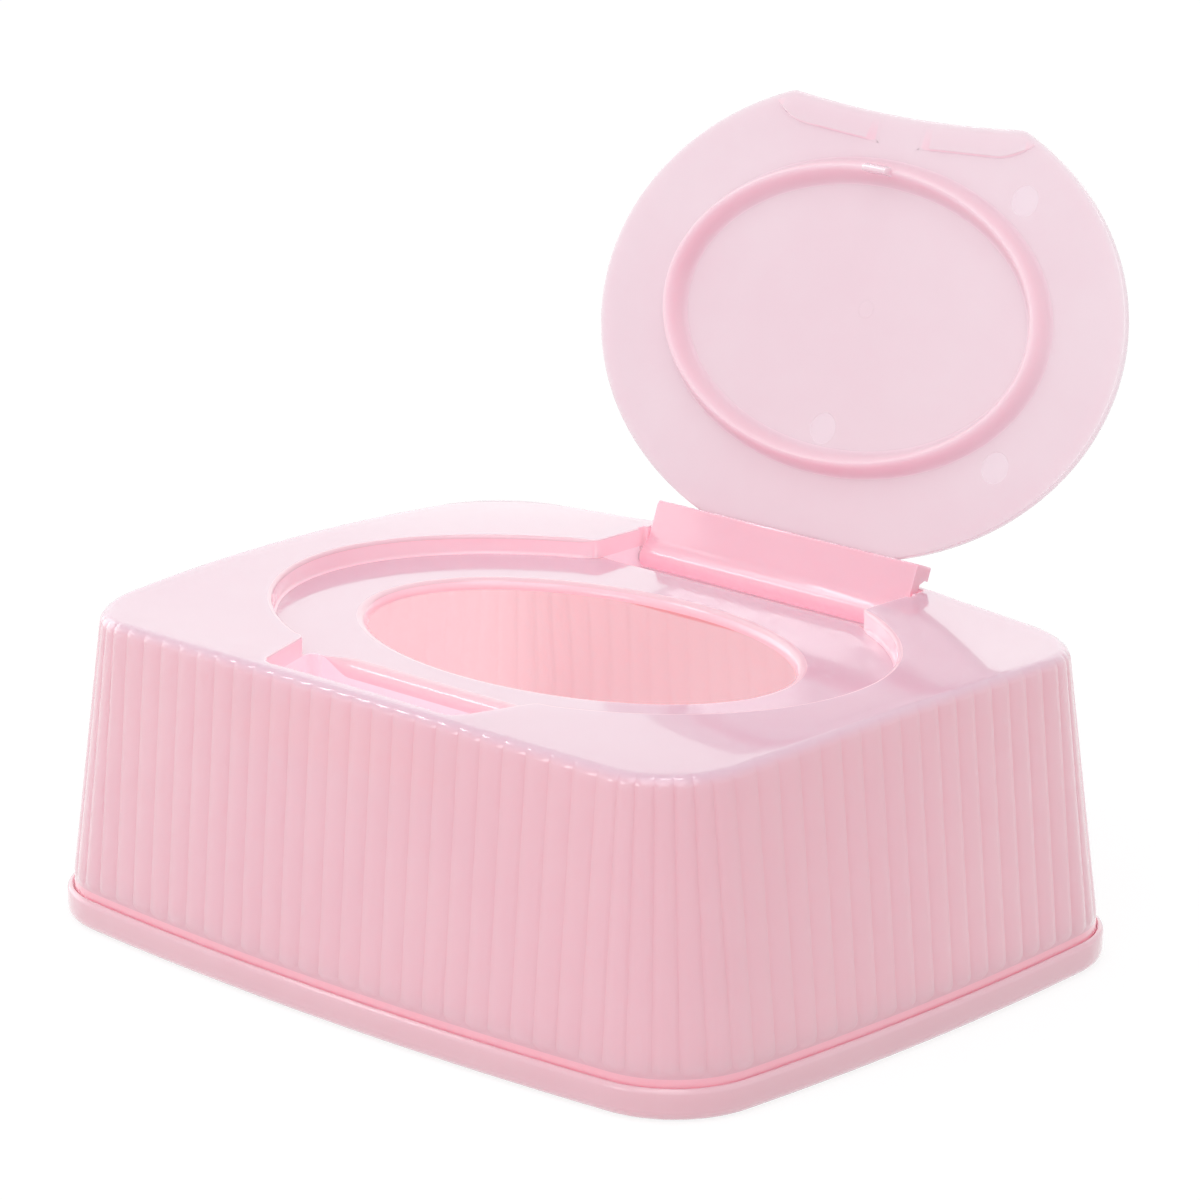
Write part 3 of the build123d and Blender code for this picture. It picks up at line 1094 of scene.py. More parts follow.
    def mouth(self, shell: Shell) -> Points:
        """Lay the rounded mouth of the dispensing opening as a blind well.

        Args:
            shell: where the faces go.

        Returns:
            Its outer edge on the recess floor, in plan.
        """
        radius, z = self.opening_radius, self.recess_z
        loop = ellipse_loop(*self.plan.opening, self.plan.opening_y)
        normals = outward(loop)
        outer = loop + normals * (radius + self.support)
        rows = [lifted(outer, z)]
        for out, down in quarter_turn(self.mouth_steps):
            rows.append(lifted(loop + normals * radius * out, z - radius * down))
        bottom = z - 2 * self.floor_thickness
        rows += [lifted(loop, z - self.floor_thickness * self.mouth_hold), lifted(loop, bottom)]
        shell.strip(rows[:self.mouth_bright], HousingFinish.EDGES)
        shell.strip(rows[self.mouth_bright - 1:], HousingFinish.RECESS_WALL)
        shell.fill(loop, [], level(bottom))
        return outer

    def deck_points(self, edge: Points) -> Points:
        """Choose points for the deck to pass through, by drawing copies of its edge inwards.

        Args:
            edge: the deck's edge in plan.

        Returns:
            The points that are clear of everything sunk into the deck.
        """
        plan, clear = self.plan, self.deck_clear
        points = np.vstack([edge[::self.deck_skip] * share for share in self.deck_rings])
        x, y = points.T
        half_x, half_y = plan.recess
        in_recess = np.hypot(x / (half_x + 2 * clear), y / (half_y + 2 * clear)) < 1
        in_slot = (np.abs(x) < plan.slot_half + clear) & (y > plan.slot_front - clear)
        in_notch = (np.abs(x) < plan.notch_back[0] + clear) & (y < plan.notch_back[1])
        return points[~(in_recess | in_slot | in_notch)]

    def outer_mesh(self) -> bpy.types.Mesh:
        """Make the housing as a solid block with everything that is worked into its deck.

        Returns:
            The block's mesh.
        """
        shell, plan = Shell(), self.plan
        edge = self.wall_strips(shell)
        rim, foot = self.rim_strips(shell)
        shell.fill(edge, [rim], self.taper.deck, self.deck_points(edge))
        slot_side, lip = len(plan.slot_side), len(plan.slot_lip)
        whole_lip = np.vstack([plan.slot_lip, plan.slot_lip[::-1][1:] * (-1, 1)])
        lip_radii = self.slot_lip_radius * fade_ends(whole_lip, self.fade)[:lip]
        radii = mirrored_values(np.concatenate([np.zeros(slot_side - 1), lip_radii]))
        slot_edge = self.pocket(shell, plan.slot(), radii, self.slot_z, self.slot_root_radius)
        clear_x = plan.notch_back[0] - plan.notch_rear_ease - plan.notch_rear[:, 0]
        roll = self.notch_roll * soft_step(clear_x / (2 * self.fade))
        radii = mirrored_values(np.concatenate([roll, np.zeros(len(plan.notch_side) - 1)]))
        notch_edge = self.pocket(shell, plan.notch(), radii, self.notch_z, self.notch_root_radius)
        floor_half = np.vstack([slot_edge[slot_side - 1:slot_side - 1 + lip][::-1],
                                foot[slot_side - 1:slot_side - 1 + len(plan.recess_side)][1:],
                                notch_edge[:len(plan.notch_rear)][::-1][1:]])
        mouth = self.mouth(shell)
        shell.fill(mirrored_loop(floor_half), [mouth], level(self.recess_z))
        return shell.mesh("housing_block")

    def cavity_mesh(self) -> bpy.types.Mesh:
        """Make the room for the wipes, with the reeds faintly showing on its wall.

        Returns:
            The mesh that is cut out of the block.
        """
        counts = self.reeding.counts(self.inner_stations)
        ripple = self.reeding.relief(counts) / self.reeding.height * self.inner_ripple
        shell = Shell()
        low, _ = self.reeding.ring(self.taper.foot.grown(-self.wall), counts)
        bottom = self.hem_z - self.below_hem
        rows = [lifted(low, bottom), lifted(low, self.taper.bead_z)]
        edges = np.array([self._edge_height(count) for count in counts])
        edges = edges - self.deck_thickness - self.inner_radius
        for share in self.inner_rows:
            heights = self.taper.bead_z + (edges - self.taper.bead_z) * share
            plan, normals = self._at_heights(counts, heights)
            wall = plan - normals * (self.wall - ripple[:, None] * (share > self.inner_rows[0]))
            rows.append(lifted(wall, heights))
        rim = rows[-1][:, :2] - normals * self.inner_radius
        rows.append(lifted(rim, self.taper.deck(rim, self.deck_thickness)))
        shell.strip(rows)
        shell.fill(rows[0][:, :2], [], level(bottom))
        ceiling = np.vstack([rim[::self.ceiling_skip] * share for share in self.ceiling_rings])
        shell.fill(rim, [], lambda plan: self.taper.deck(plan, self.deck_thickness), ceiling)
        return shell.mesh("cavity")

    def pocket_blocks(self) -> list[bpy.types.Mesh]:
        """Make the undersides of recess, notch and slot, which stand down into the cavity.

        Returns:
            Blocks to be kept out of the tool that cuts the cavity.
        """
        plan, grow, high = self.plan, self.pocket_wall, self.taper.deck_z + OVERSHOOT
        half_x, half_y = plan.recess
        recess = prism(ellipse_loop(half_x + grow, half_y + grow),
                       self.recess_z - self.floor_thickness, high)
        front, back = plan.notch_front, plan.notch_back
        notch = np.array([(back[0] + grow, back[1] + grow), (front[0] + grow, front[1] - grow),
                          (-front[0] - grow, front[1] - grow), (-back[0] - grow, back[1] + grow)])
        x, near, far = plan.slot_half + self.boss, plan.slot_front - grow, plan.slot_back + grow
        slot = np.array([(x, far), (x, near), (-x, near), (-x, far)])
        return [recess.mesh("recess_underside"),
                prism(notch, self.notch_z - grow, high).mesh("notch_underside"),
                prism(slot, self.slot_z - grow, high).mesh("slot_underside")]

    def bore_mesh(self, side: Side) -> bpy.types.Mesh:
        """Make a blind bore for a hinge pin, lying along X into the slot's end wall.

        Args:
            side: which end of the slot.

        Returns:
            The mesh that is cut out.
        """
        ring = circle(self.hinge.centre, self.bore_radius, self.bore_points)
        end = self.plan.slot_half
        block = prism(ring, end - self.overlap, end + self.bore_depth).along_x(side)
        return block.mesh(f"bore_{side.name.lower()}")

    def groove_mesh(self, side: Side) -> bpy.types.Mesh:
        """Make the lead-in groove from the deck down to a bore.

        Args:
            side: which end of the slot.

        Returns:
            The mesh that is cut out.
        """
        (width, depth), cut = self.groove, self.groove_corner
        start, stop = self.plan.slot_half - self.overlap, self.plan.slot_half + depth
        near, far = self.hinge.y - width / 2, self.hinge.y + width / 2
        corners = np.array([(start, near), (stop - cut, near), (stop, near + cut),
                            (stop, far - cut), (stop - cut, far), (start, far)]) * (side.value, 1)
        block = prism(corners, self.hinge.z, self.taper.deck_z + OVERSHOOT)
        return block.mesh(f"groove_{side.name.lower()}")

    def build(self, finishes: Finishes) -> bpy.types.Object:
        """Make the housing, ride it on its body and put it in place of its solid.

        Args:
            finishes: one for each HousingFinish, in its order.

        Returns:
            The finished piece.
        """
        cavity = worked(self.cavity_mesh(), [(Cut.REMOVE, block) for block in self.pocket_blocks()])
        cuts = [(Cut.REMOVE, finished(cavity, finishes, HousingFinish.INSIDE))]
        for tool in (make(side) for side in Side for make in (self.bore_mesh, self.groove_mesh)):
            cuts.append((Cut.REMOVE, finished(tool, finishes, HousingFinish.RECESS_WALL)))
        mesh = worked(finished(self.outer_mesh(), finishes), cuts)
        # Tints of painted light: the deck's painted reflection and the foot's painted glow.
        at = places(mesh)
        under = self.taper.deck(at[:, :2]) - at[:, 2]
        on_recess = np.hypot(*(at[:, :2] / self.plan.recess).T) < 1
        on_recess &= at[:, 2] > self.recess_tint_z
        deck = np.maximum(soft_step(1 - under / self.edge_radius), on_recess)
        foot = soft_step(1 - (at[:, 2] - self.taper.bead_z) / self.foot_fade)
        piece = smoothed(tinted(mesh, [(deck, self.deck_painted_reflection), (foot, self.foot_painted_glow)]),
                         "ribbed_housing_moulding", finishes)
        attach(piece, "housing")
        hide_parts("ribbed_housing")
        return piece


# ---- Flip lid ----

@dataclass
class FlipLid:
    """Oval lid, drawn closed and then turned back about the hinge to where it rests open."""

    hinge: Hinge
    half_x: float = 68.7
    half_y: float = 49.5
    back_y: float = 48.7            # straight back edge
    inner_z: float = 62.0
    thickness: float = 2.2
    front_y: float = -42.7          # middle of the concave front edge
    front_corner_x: float = 30.5
    front_points: int = 40
    back_ease: float = 2.0          # where the rounding of the back corners starts
    corner_ease: float = 1.3
    top_edge: float = 1.2
    inner_edge: float = 0.3
    small_steps: int = 3            # spans in this one and in the round ends of the pins
    support: float = 0.2
    centre_y: float = -0.4          # of the plug ring
    ring_height: float = 3.8
    ring_outer_foot: Pair = (51.0, 32.9)
    ring_tip: Pair = (48.3, 30.45)
    ring_inner_foot: Pair = (45.0, 27.5)
    ring_points: int = 320
    ring_spans: int = 10            # over either side of its section
    ring_swell: float = 0.9         # below 1, its outer side bulges
    witness_radius: float = 3.3     # round marks left by the ejector pins
    witness_depth: float = 0.12
    witnesses: tuple[Pair, ...] = ((35.4, -30.3), (45.1, 23.2), (-0.3, 23.2))
    mark_points: int = 48
    mark_margin: float = 1.04       # radius of the flat round each mark, over the mark's own
    gate: Pair = (2.8, -2.5)
    gate_radius: float = 1.9
    gate_height: float = 0.06
    # Painted shade: a deeper pink along the rim, up the ring and on the pads' sides; on the ring it
    # stands for light seen through the thicker plastic.
    painted_shade_tint: Triple = (1.19, 0.92, 0.96)
    rim_shade_width: float = 5.2           # width of the painted shade along the rim
    rim_rows: int = 4               # rows of points that it fades over
    rim_nearness: float = 0.98      # share of a row's reach within which its points are left out
    rim_depth: float = 0.15         # how deep it is there, up to 1
    rim_fade: float = 1.5           # above 1, it keeps close to the rim
    ring_depth: float = 0.7
    ring_fade: float = 0.8          # below 1, it begins low on the ring
    ring_slack: float = 0.001       # so that the ring's own feet count as on it
    ledge_depth: float = 0.6
    ledge_pale: float = 0.1         # height of a pad's side that stays pale, above and below
    ledge_tint_y: float = -35.5     # how far back the painted shade on the pads' sides reaches
    panel_half: float = 35.2
    panel_front: float = 45.6
    panel_crease: float = 53.5      # where the panel's face turns towards the barrel
    panel_under: float = 3.6
    panel_top: float = 1.2
    panel_step: float = 48.3
    panel_slope: float = 1.0        # run of the slope beside the step
    panel_edge: Pair = (0.5, 0.15)  # lower front edge: where its rounding starts, and its middle
    panel_inset: float = 0.25       # of the rounded ends
    barrel_points: int = 28
    barrel_radius: float = 2.4
    pin_radius: float = 1.6
    pin_length: float = 3.4
    pin_root: float = 2.0           # how far it starts inside the barrel
    pin_round: float = 0.5
    pin_points: int = 40
    bury: float = 1.0               # how far catch and pads start inside the plate
    catch_half: float = 3.0
    catch_length: float = 5.8
    catch_thickness: float = 1.3
    catch_setback: float = 0.25     # of its outer face from the crest of the ring
    catch_corner: float = 0.3
    catch_barb: float = 0.45
    barb_heights: tuple[float, ...] = (2.3, 1.7, 1.4, 0.2)  # of its corners, over the catch's tip
    ledge_height: float = 0.5
    ledge_gap: float = 5.0          # half of the break between the two ledge pads
    ledge_inset: float = 0.9        # from the edge of the plate
    ledge_slope: float = 0.5        # width of its sloping side
    ledge_fade: float = 2.5         # length over which it dies away
    ledge_clear: Pair = (0.2, 0.4)  # between its ends and the front edge's first and last points
    ledge_ease: float = 5.0         # where the rounding of its turn starts
    ledge_taper: float = 4.0        # length over which its sloping side narrows to its outer end
    ledge_least: float = 0.08       # share of that side's width that is left there
    ledge_proud: float = 0.02       # least height over the plate
    ledge_bulge: float = 0.6        # height of the sloping side's middle, as a share
    ledge_back: float = -36.5
    ledge_turn: Pair = (30.0, -37.9)
    ledge_end: Pair = (34.3, -41.6)
    open_angle: float = 111.6

    def outline(self) -> Points:
        """Draw the plate's plan: an oval with a straight back and a concave front.

        Returns:
            The closed loop.
        """
        start_x = self.half_x * math.sqrt(1 - (self.back_y / self.half_y) ** 2)
        start = math.atan2(self.back_y / self.half_y, start_x / self.half_x)
        corner_x = self.front_corner_x
        corner_y = -self.half_y * math.sqrt(1 - (corner_x / self.half_x) ** 2)
        stop = math.atan2(corner_y / self.half_y, corner_x / self.half_x)
        side = ellipse_arc(self.half_x, self.half_y, 0.0, start, stop)
        bow = self.front_y - corner_y
        share = np.linspace(1, 0, self.front_points)
        front = np.column_stack([corner_x * share, self.front_y - bow * share ** 2])
        back = line((0, self.back_y), side[0])
        return mirrored_loop(eased_path([back, side, front], [self.back_ease, self.corner_ease]))

    def ring_rows(self) -> list[Points]:
        """Sweep the plug ring's section round its oval.

        Returns:
            Closed rows of points, from the outer foot over the tip to the inner foot.
        """
        def oval(half: np.ndarray, rise: float) -> Points:
            """One row of the ring, where it has risen by a share of its height."""
            plan = ellipse_loop(*half, self.centre_y, self.ring_points)
            return lifted(plan, self.inner_z - self.ring_height * rise)

        outer, tip = np.array(self.ring_outer_foot), np.array(self.ring_tip)
        inner = np.array(self.ring_inner_foot)
        shares, swell = np.linspace(0, 1, self.ring_spans + 1), self.ring_swell
        return [oval(outer + self.support, 0.0),
                *(oval(outer + (tip - outer) * s, float(soft_step(s)) ** swell) for s in shares),
                *(oval(tip + (inner - tip) * s, float(soft_step(1 - s))) for s in shares[1:]),
                oval(inner - self.support, 0.0)]

    def plate_mesh(self, finishes: Finishes) -> bpy.types.Mesh:
        """Make the plate with its plug ring, ejector marks and gate mark.

        Args:
            finishes: one for each LidFinish, in its order.

        Returns:
            The plate's mesh.
        """
        shell = Shell()
        loop = self.outline()
        normals = outward(loop)
        top_z, top, edge = self.inner_z + self.thickness, self.top_edge, self.inner_edge
        rows = [lifted(loop - normals * (top + self.support), top_z)]
        for back, down in quarter_turn():
            rows.append(lifted(loop - normals * top * back, top_z - top * down))
        for back, up in quarter_turn(self.small_steps):
            rows.append(lifted(loop - normals * edge * up, self.inner_z + edge * back))
        rows.append(lifted(loop - normals * (edge + self.support), self.inner_z))
        shell.strip(rows)
        shell.fill(rows[0][:, :2], [], level(top_z))
        ring = self.ring_rows()
        shell.strip(ring, LidFinish.PLUG_RING)
        outside, within = [ring[0][:, :2]], []
        for x, y in self.witnesses:
            mark = self._round_mark(shell, (x, y), self.witness_radius, self.witness_depth)
            (within if inside(np.array([[x, y]]), ring[0][:, :2])[0] else outside).append(mark)
        within.append(self._round_mark(shell, self.gate, self.gate_radius, -self.gate_height,
                                       LidFinish.PLATE))
        shell.fill(rows[-1][:, :2], outside, level(self.inner_z), self.rim_points(loop))
        shell.fill(ring[-1][:, :2], within, level(self.inner_z))
        return finished(shell.mesh("lid_plate"), finishes)

    def rim_points(self, loop: Points) -> Points:
        """Choose points beside the rim, for its painted shade to fade over.

        Args:
            loop: the plate's outline.

        Returns:
            Rows of points in plan, none nearer to the rim than its row's distance.
        """
        rows = []
        for reach in np.linspace(0, self.rim_shade_width, self.rim_rows + 1)[1:]:
            row = (loop - outward(loop) * reach)[::2]
            rows.append(row[edge_distance(row, loop) > reach * self.rim_nearness])
        return np.vstack(rows)

    def painted_shade_shares(self, points: Points) -> np.ndarray:
        """Work out how deep the painted shade is: it deepens along the rim, the ring and the pads.

        Args:
            points: points of the closed lid.

        Returns:
            A share from 0 to 1 for each.
        """
        plan, drop = points[:, :2], self.inner_z - points[:, 2]
        off_rim = np.maximum(0.0, 1 - edge_distance(plan, self.outline()) / self.rim_shade_width)
        share = self.rim_depth * off_rim ** self.rim_fade
        centred = plan - (0.0, self.centre_y)
        in_outer = np.linalg.norm(centred / self.ring_outer_foot, axis=1) <= 1 + self.ring_slack
        off_inner = np.linalg.norm(centred / self.ring_inner_foot, axis=1) >= 1 - self.ring_slack
        ring = self.ring_depth * np.clip(drop / self.ring_height, 0.0, 1.0) ** self.ring_fade
        share = np.where(in_outer & off_inner & (drop > 0), np.maximum(share, ring), share)
        on_side = (drop > self.ledge_pale) & (drop < self.ledge_height - self.ledge_pale)
        on_side &= plan[:, 1] < self.ledge_tint_y
        return np.where(on_side, np.maximum(share, self.ledge_depth), share)

    def _round_mark(self, shell: Shell, centre: Pair, radius: float, depth: float,
                    finish: int = LidFinish.EJECTOR_MARK) -> Points:
        """Lay a shallow round mark in the plate's inner face.

        Args:
            shell: where the faces go.
            centre: its place in plan.
            radius: its radius.
            depth: how far it is sunk into the plate; negative stands out.
            finish: number of its material.

        Returns:
            Its outer edge in plan.
        """
        loop = ellipse_loop(radius, radius, 0.0, self.mark_points) + np.array(centre)
        floor = (loop - centre) * (1 - abs(depth) / radius) + centre
        outer = (loop - centre) * self.mark_margin + centre
        z = self.inner_z + depth
        shell.strip([lifted(outer, self.inner_z), lifted(loop, self.inner_z)])
        shell.strip([lifted(loop, self.inner_z), lifted(floor, z)], finish=finish)
        shell.fill(floor, [], level(z), finish=finish)
        return outer

    def panel_mesh(self) -> bpy.types.Mesh:
        """Make the hinge panel under the back of the plate, with its barrel.

        Returns:
            The panel's mesh.
        """
        centre = np.array(self.hinge.centre)
        under, top = self.inner_z - self.panel_under, self.inner_z - self.panel_top
        crease = np.array([self.panel_crease, under])
        lean = centre - crease
        reach = np.linalg.norm(lean)
        first = math.atan2(-lean[1], -lean[0]) % math.tau + math.acos(self.barrel_radius / reach)
        last = math.pi - math.asin((top - self.hinge.z) / self.barrel_radius) + math.tau
        angles = np.linspace(first, last, self.barrel_points)
        barrel = centre + self.barrel_radius * np.column_stack([np.cos(angles), np.sin(angles)])
        into, front, step = self.inner_z + self.thickness / 2, self.panel_front, self.panel_step
        edge, eased = self.panel_edge
        section = np.vstack([[(front, into), (front, under + edge), (front + eased, under + eased),
                              (front + edge, under), crease], barrel,
                             [(step + self.panel_slope, top), (step, self.inner_z), (step, into)]])
        inwards = section.mean(axis=0) - section
        half, inset = self.panel_half, self.panel_inset
        small = section + inwards / np.linalg.norm(inwards, axis=1)[:, None] * inset
        shell = Shell()
        shell.strip([lifted(small, -half), lifted(section, -half + inset),
                     lifted(section, half - inset), lifted(small, half)], LidFinish.HINGE_PANEL)
        for x in (-half, half):
            shell.fill(small, [], level(x), finish=LidFinish.HINGE_PANEL)
        return shell.along_x().mesh("hinge_panel")

    def pin_mesh(self, side: Side) -> bpy.types.Mesh:
        """Make a stub pin with a rounded end, out of one end of the barrel.

        Args:
            side: which end.

        Returns:
            The pin's mesh.
        """
        stop, radius, eased = self.panel_half + self.pin_length, self.pin_radius, self.pin_round
        profile = [(self.panel_half - self.pin_root, radius)]
        for back, inwards in quarter_turn(self.small_steps):
            profile.append((stop - eased * back, radius - eased * inwards))
        rows = [lifted(circle(self.hinge.centre, r, self.pin_points), x) for x, r in profile]
        shell = Shell()
        shell.strip(rows)
        shell.cap(rows[0])
        shell.cap(rows[-1])
        return shell.along_x(side).mesh(f"pin_{side.name.lower()}")

    def catch_mesh(self) -> bpy.types.Mesh:
        """Make the snap tab at the front of the ring, with a barb that passes the opening's edge.

        Returns:
            The tab's mesh.
        """
        outer = self.centre_y - self.ring_tip[1] - self.catch_setback
        inner, barb, cut = outer + self.catch_thickness, outer - self.catch_barb, self.catch_corner
        root, tip = self.inner_z + self.bury, self.inner_z - self.catch_length
        shoulder, high, low, neck = (tip + height for height in self.barb_heights)
        section = np.array([(inner, root), (outer, root), (outer, shoulder), (barb, high),
                            (barb, low), (outer, neck), (outer + cut, tip), (inner - cut, tip),
                            (inner, tip + cut)])
        return prism(section, -self.catch_half, self.catch_half).along_x().mesh("snap_tab")

    def ledge_mesh(self, side: Side) -> bpy.types.Mesh:
        """Make a low pad along the front edge, which stands out behind and dies away forwards.

        Args:
            side: which half of the front edge.

        Returns:
            The pad's mesh.
        """
        loop = self.outline()
        edge = loop - outward(loop) * self.ledge_inset
        end, turn, start = self.ledge_end, self.ledge_turn, (self.ledge_gap, self.ledge_back)
        first, last = start[0] + self.ledge_clear[0], end[0] - self.ledge_clear[1]
        front = edge[(edge[:, 0] > first) & (edge[:, 0] < last) & (edge[:, 1] < turn[1])]
        front = front[np.argsort(front[:, 0])]
        rear = eased_path([line(start, turn), line(turn, end)], [self.ledge_ease])
        plan = np.vstack([rear, front[::-1]])
        to_end = np.linalg.norm(plan - end, axis=1) / self.ledge_taper
        slope = outward(plan) * self.ledge_slope * np.clip(to_end, self.ledge_least, 1.0)[:, None]
        small, middle = plan - slope, plan - slope / 2

        def drop(points: Points) -> np.ndarray:
            """Work out how far the pad stands out.

            Args:
                points: points in plan.

            Returns:
                Its height over the plate at each.
            """
            back = soft_step(edge_distance(points, front) / self.ledge_fade)
            beside = soft_step((points[:, 0] - start[0]) / (2 * self.ledge_fade))
            return self.ledge_proud + self.ledge_height * back * beside

        face, root = self.inner_z, self.inner_z + self.bury
        rows = [lifted(small, face - drop(small)),
                lifted(middle, face - drop(middle) * self.ledge_bulge),
                lifted(plan, face - self.ledge_proud), lifted(plan, root)]
        shell = Shell()
        shell.strip(rows)
        shell.fill(small, [], lambda points: face - drop(points))
        shell.fill(plan, [], level(root))
        shell.points = [(side.value * x, y, z) for x, y, z in shell.points]
        return shell.mesh(f"ledge_{side.name.lower()}")

    def opened(self) -> Matrix:
        """Work out the turn about the hinge from closed to open.

        Returns:
            The movement, in metres.
        """
        hinge = Vector((0.0, self.hinge.y * MM, self.hinge.z * MM))
        turn = Matrix.Rotation(-math.radians(self.open_angle), 4, "X")
        return Matrix.Translation(hinge) @ turn @ Matrix.Translation(-hinge)

    def build(self, finishes: Finishes) -> bpy.types.Object:
        """Make the lid, ride it on its body and put it in place of its solid.

        Args:
            finishes: one for each LidFinish, in its order.

        Returns:
            The finished piece.
        """
        joined = [(Cut.ADD, finished(self.panel_mesh(), finishes)), (Cut.ADD, self.catch_mesh())]
        for side in Side:
            joined += [(Cut.ADD, self.ledge_mesh(side)), (Cut.ADD, self.pin_mesh(side))]
        mesh = worked(self.plate_mesh(finishes), joined)
        # Paint the shade of rim, ring and pads onto the lid.
        tinted(mesh, [(self.painted_shade_shares(places(mesh)), self.painted_shade_tint)])
        mesh.transform(self.opened())
        piece = smoothed(mesh, "flip_lid_moulding", finishes)
        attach(piece, "lid")
        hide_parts("flip_lid")
        return piece


# ---- Finishes ----

def add_node(tree: bpy.types.NodeTree, kind: str, settings: dict[str, object] | None = None,
             links: dict[str, bpy.types.NodeSocket] | None = None) -> bpy.types.Node:
    """Add a shader node.

    Args:
        tree: the material's or world's node tree.
        kind: the node's type, such as "ShaderNodeTexNoise".
        settings: properties of the node, or values of its inputs, by name.
        links: output sockets to join to its inputs, by the input's name.

    Returns:
        The new node.
    """
    node = tree.nodes.new(kind)
    for name, value in (settings or {}).items():
        if name in node.inputs or name.isdigit():
            node.inputs[int(name) if name.isdigit() else name].default_value = value
        else:
            setattr(node, name, value)
    for name, socket in (links or {}).items():
        tree.links.new(socket, node.inputs[int(name) if name.isdigit() else name])
    return node


def empty_tree(owner: bpy.types.Material | bpy.types.World) -> bpy.types.NodeTree:
    """Turn on the nodes of a material or world, and take out those that it comes with.

    Args:
        owner: the material or world.

    Returns:
        Its node tree.
    """
    owner.use_nodes = True
    owner.node_tree.nodes.clear()
    return owner.node_tree


@dataclass(frozen=True)
class MouldedPolypropylene:
    """Injection-moulded polypropylene, tinted pink and a little translucent.

    The mould is polished, so the skin is glossy with a faint waviness from shrinkage. Light enters
    and comes out again a few millimetres off: thin walls look paler, and thick sections deeper.
    Where that falls short, a finish adds a painted glow, and the mesh a painted tint.
    """

    name: str                       # what it is the finish of
    colour: str                     # body colour
    flow: str                       # body colour where the melt ran a little denser
    bleed: Triple = (5.0, 5.0, 5.0)     # how far red, green and blue light spread, mm
    roughness: float = 0.14
    skin: float = 1.0               # clear, resin-rich skin that forms against the polished mould
    skin_roughness: float = 0.03
    glow: str = "#000000"           # painted glow: emission that stands in for light come through the plastic
    tinting: float = 1.0            # how much of the mesh's painted tint shows
    melt_width: float = 34.0        # width of the streaks in the melt, mm
    melt_range: Pair = (0.32, 0.68)     # of the noise, from the denser colour to the body colour
    haze_width: float = 9.0         # width of the duller patches in the skin, mm
    haze: Pair = (-0.04, 0.05)      # what they do to the roughness
    polish_grain: float = 0.9       # width of the mould's polishing marks, mm; real ones are finer
    polish_depth: float = 0.004
    sink_width: float = 22.0        # width of the shrinkage waves, mm
    sink_depth: float = 0.05

    def material(self) -> bpy.types.Material:
        """Build the node material.

        Returns:
            The material, named for polypropylene and what it is the finish of.
        """
        material = bpy.data.materials.new(f"moulded_polypropylene_{self.name}")
        tree = empty_tree(material)
        place = {"Vector": add_node(tree, "ShaderNodeTexCoord").outputs["Object"]}
        melt = add_node(tree, "ShaderNodeTexNoise", {
            "Scale": 1 / (self.melt_width * MM), "Detail": 3.0, "Roughness": 0.5}, place)
        body = add_node(tree, "ShaderNodeValToRGB", links={"Fac": melt.outputs["Fac"]})
        colours = (self.flow, self.colour)
        for stop, position, colour in zip(body.color_ramp.elements, self.melt_range, colours):
            stop.position, stop.color = position, linear(colour)
        # The mesh's tint, which paints light and shade, multiplies the body colour.
        factors = add_node(tree, "ShaderNodeAttribute", {"attribute_name": TINT})
        tint = add_node(tree, "ShaderNodeMix",
                        {"data_type": "RGBA", "blend_type": "MULTIPLY", "0": self.tinting},
                        {"6": body.outputs["Color"], "7": factors.outputs["Color"]})
        haze = add_node(tree, "ShaderNodeTexNoise",
                        {"Scale": 1 / (self.haze_width * MM), "Detail": 4.0}, place)
        dull, duller = (self.roughness + change for change in self.haze)
        rough = add_node(tree, "ShaderNodeMapRange", {"To Min": dull, "To Max": duller},
                         {"Value": haze.outputs["Fac"]})
        sink = add_node(tree, "ShaderNodeTexNoise",
                        {"Scale": 1 / (self.sink_width * MM), "Detail": 1.0}, place)
        grain = add_node(tree, "ShaderNodeTexNoise",
                         {"Scale": 1 / (self.polish_grain * MM), "Detail": 2.0}, place)
        waves = add_node(tree, "ShaderNodeBump",
                         {"Strength": 1.0, "Distance": self.sink_depth * MM},
                         {"Height": sink.outputs["Fac"]})
        polish = add_node(tree, "ShaderNodeBump",
                          {"Strength": 1.0, "Distance": self.polish_depth * MM},
                          {"Height": grain.outputs["Fac"], "Normal": waves.outputs["Normal"]})
        # Its emission is the painted glow.
        shader = add_node(tree, "ShaderNodeBsdfPrincipled", {
            "IOR": 1.49, "Subsurface Weight": 1.0,
            "Subsurface Radius": self.bleed, "Subsurface Scale": MM,
            "Coat Weight": self.skin, "Coat IOR": 1.6, "Coat Roughness": self.skin_roughness,
            "Emission Color": linear(self.glow), "Emission Strength": 1.0,
        }, {
            "Base Color": tint.outputs[2], "Roughness": rough.outputs["Result"],
            "Normal": polish.outputs["Normal"],
        })
        add_node(tree, "ShaderNodeOutputMaterial", links={"Surface": shader.outputs["BSDF"]})
        return material


# ---- Studio ----

@dataclass(frozen=True)
class Softbox:
    """A rectangular lamp behind diffusion cloth."""

    name: str
    place: Triple       # metres
    aim: Triple
    width: float
    height: float
    radiance: float                         # of the cloth; 1 is as bright as white paper

    def light(self) -> bpy.types.Object:
        """Hang the lamp.

        Returns:
            The lamp, linked to the scene.
        """
        lamp = bpy.data.lights.new(self.name, "AREA")
        lamp.shape = "RECTANGLE"
        lamp.size, lamp.size_y = self.width, self.height
        lamp.energy = self.radiance * math.pi * self.width * self.height
        body = bpy.data.objects.new(self.name, lamp)
        body.location = self.place
        towards = Vector(self.aim) - Vector(self.place)
        body.rotation_euler = towards.to_track_quat("-Z", "Y").to_euler()
        body.visible_camera = False
        bpy.context.scene.collection.objects.link(body)
        return body


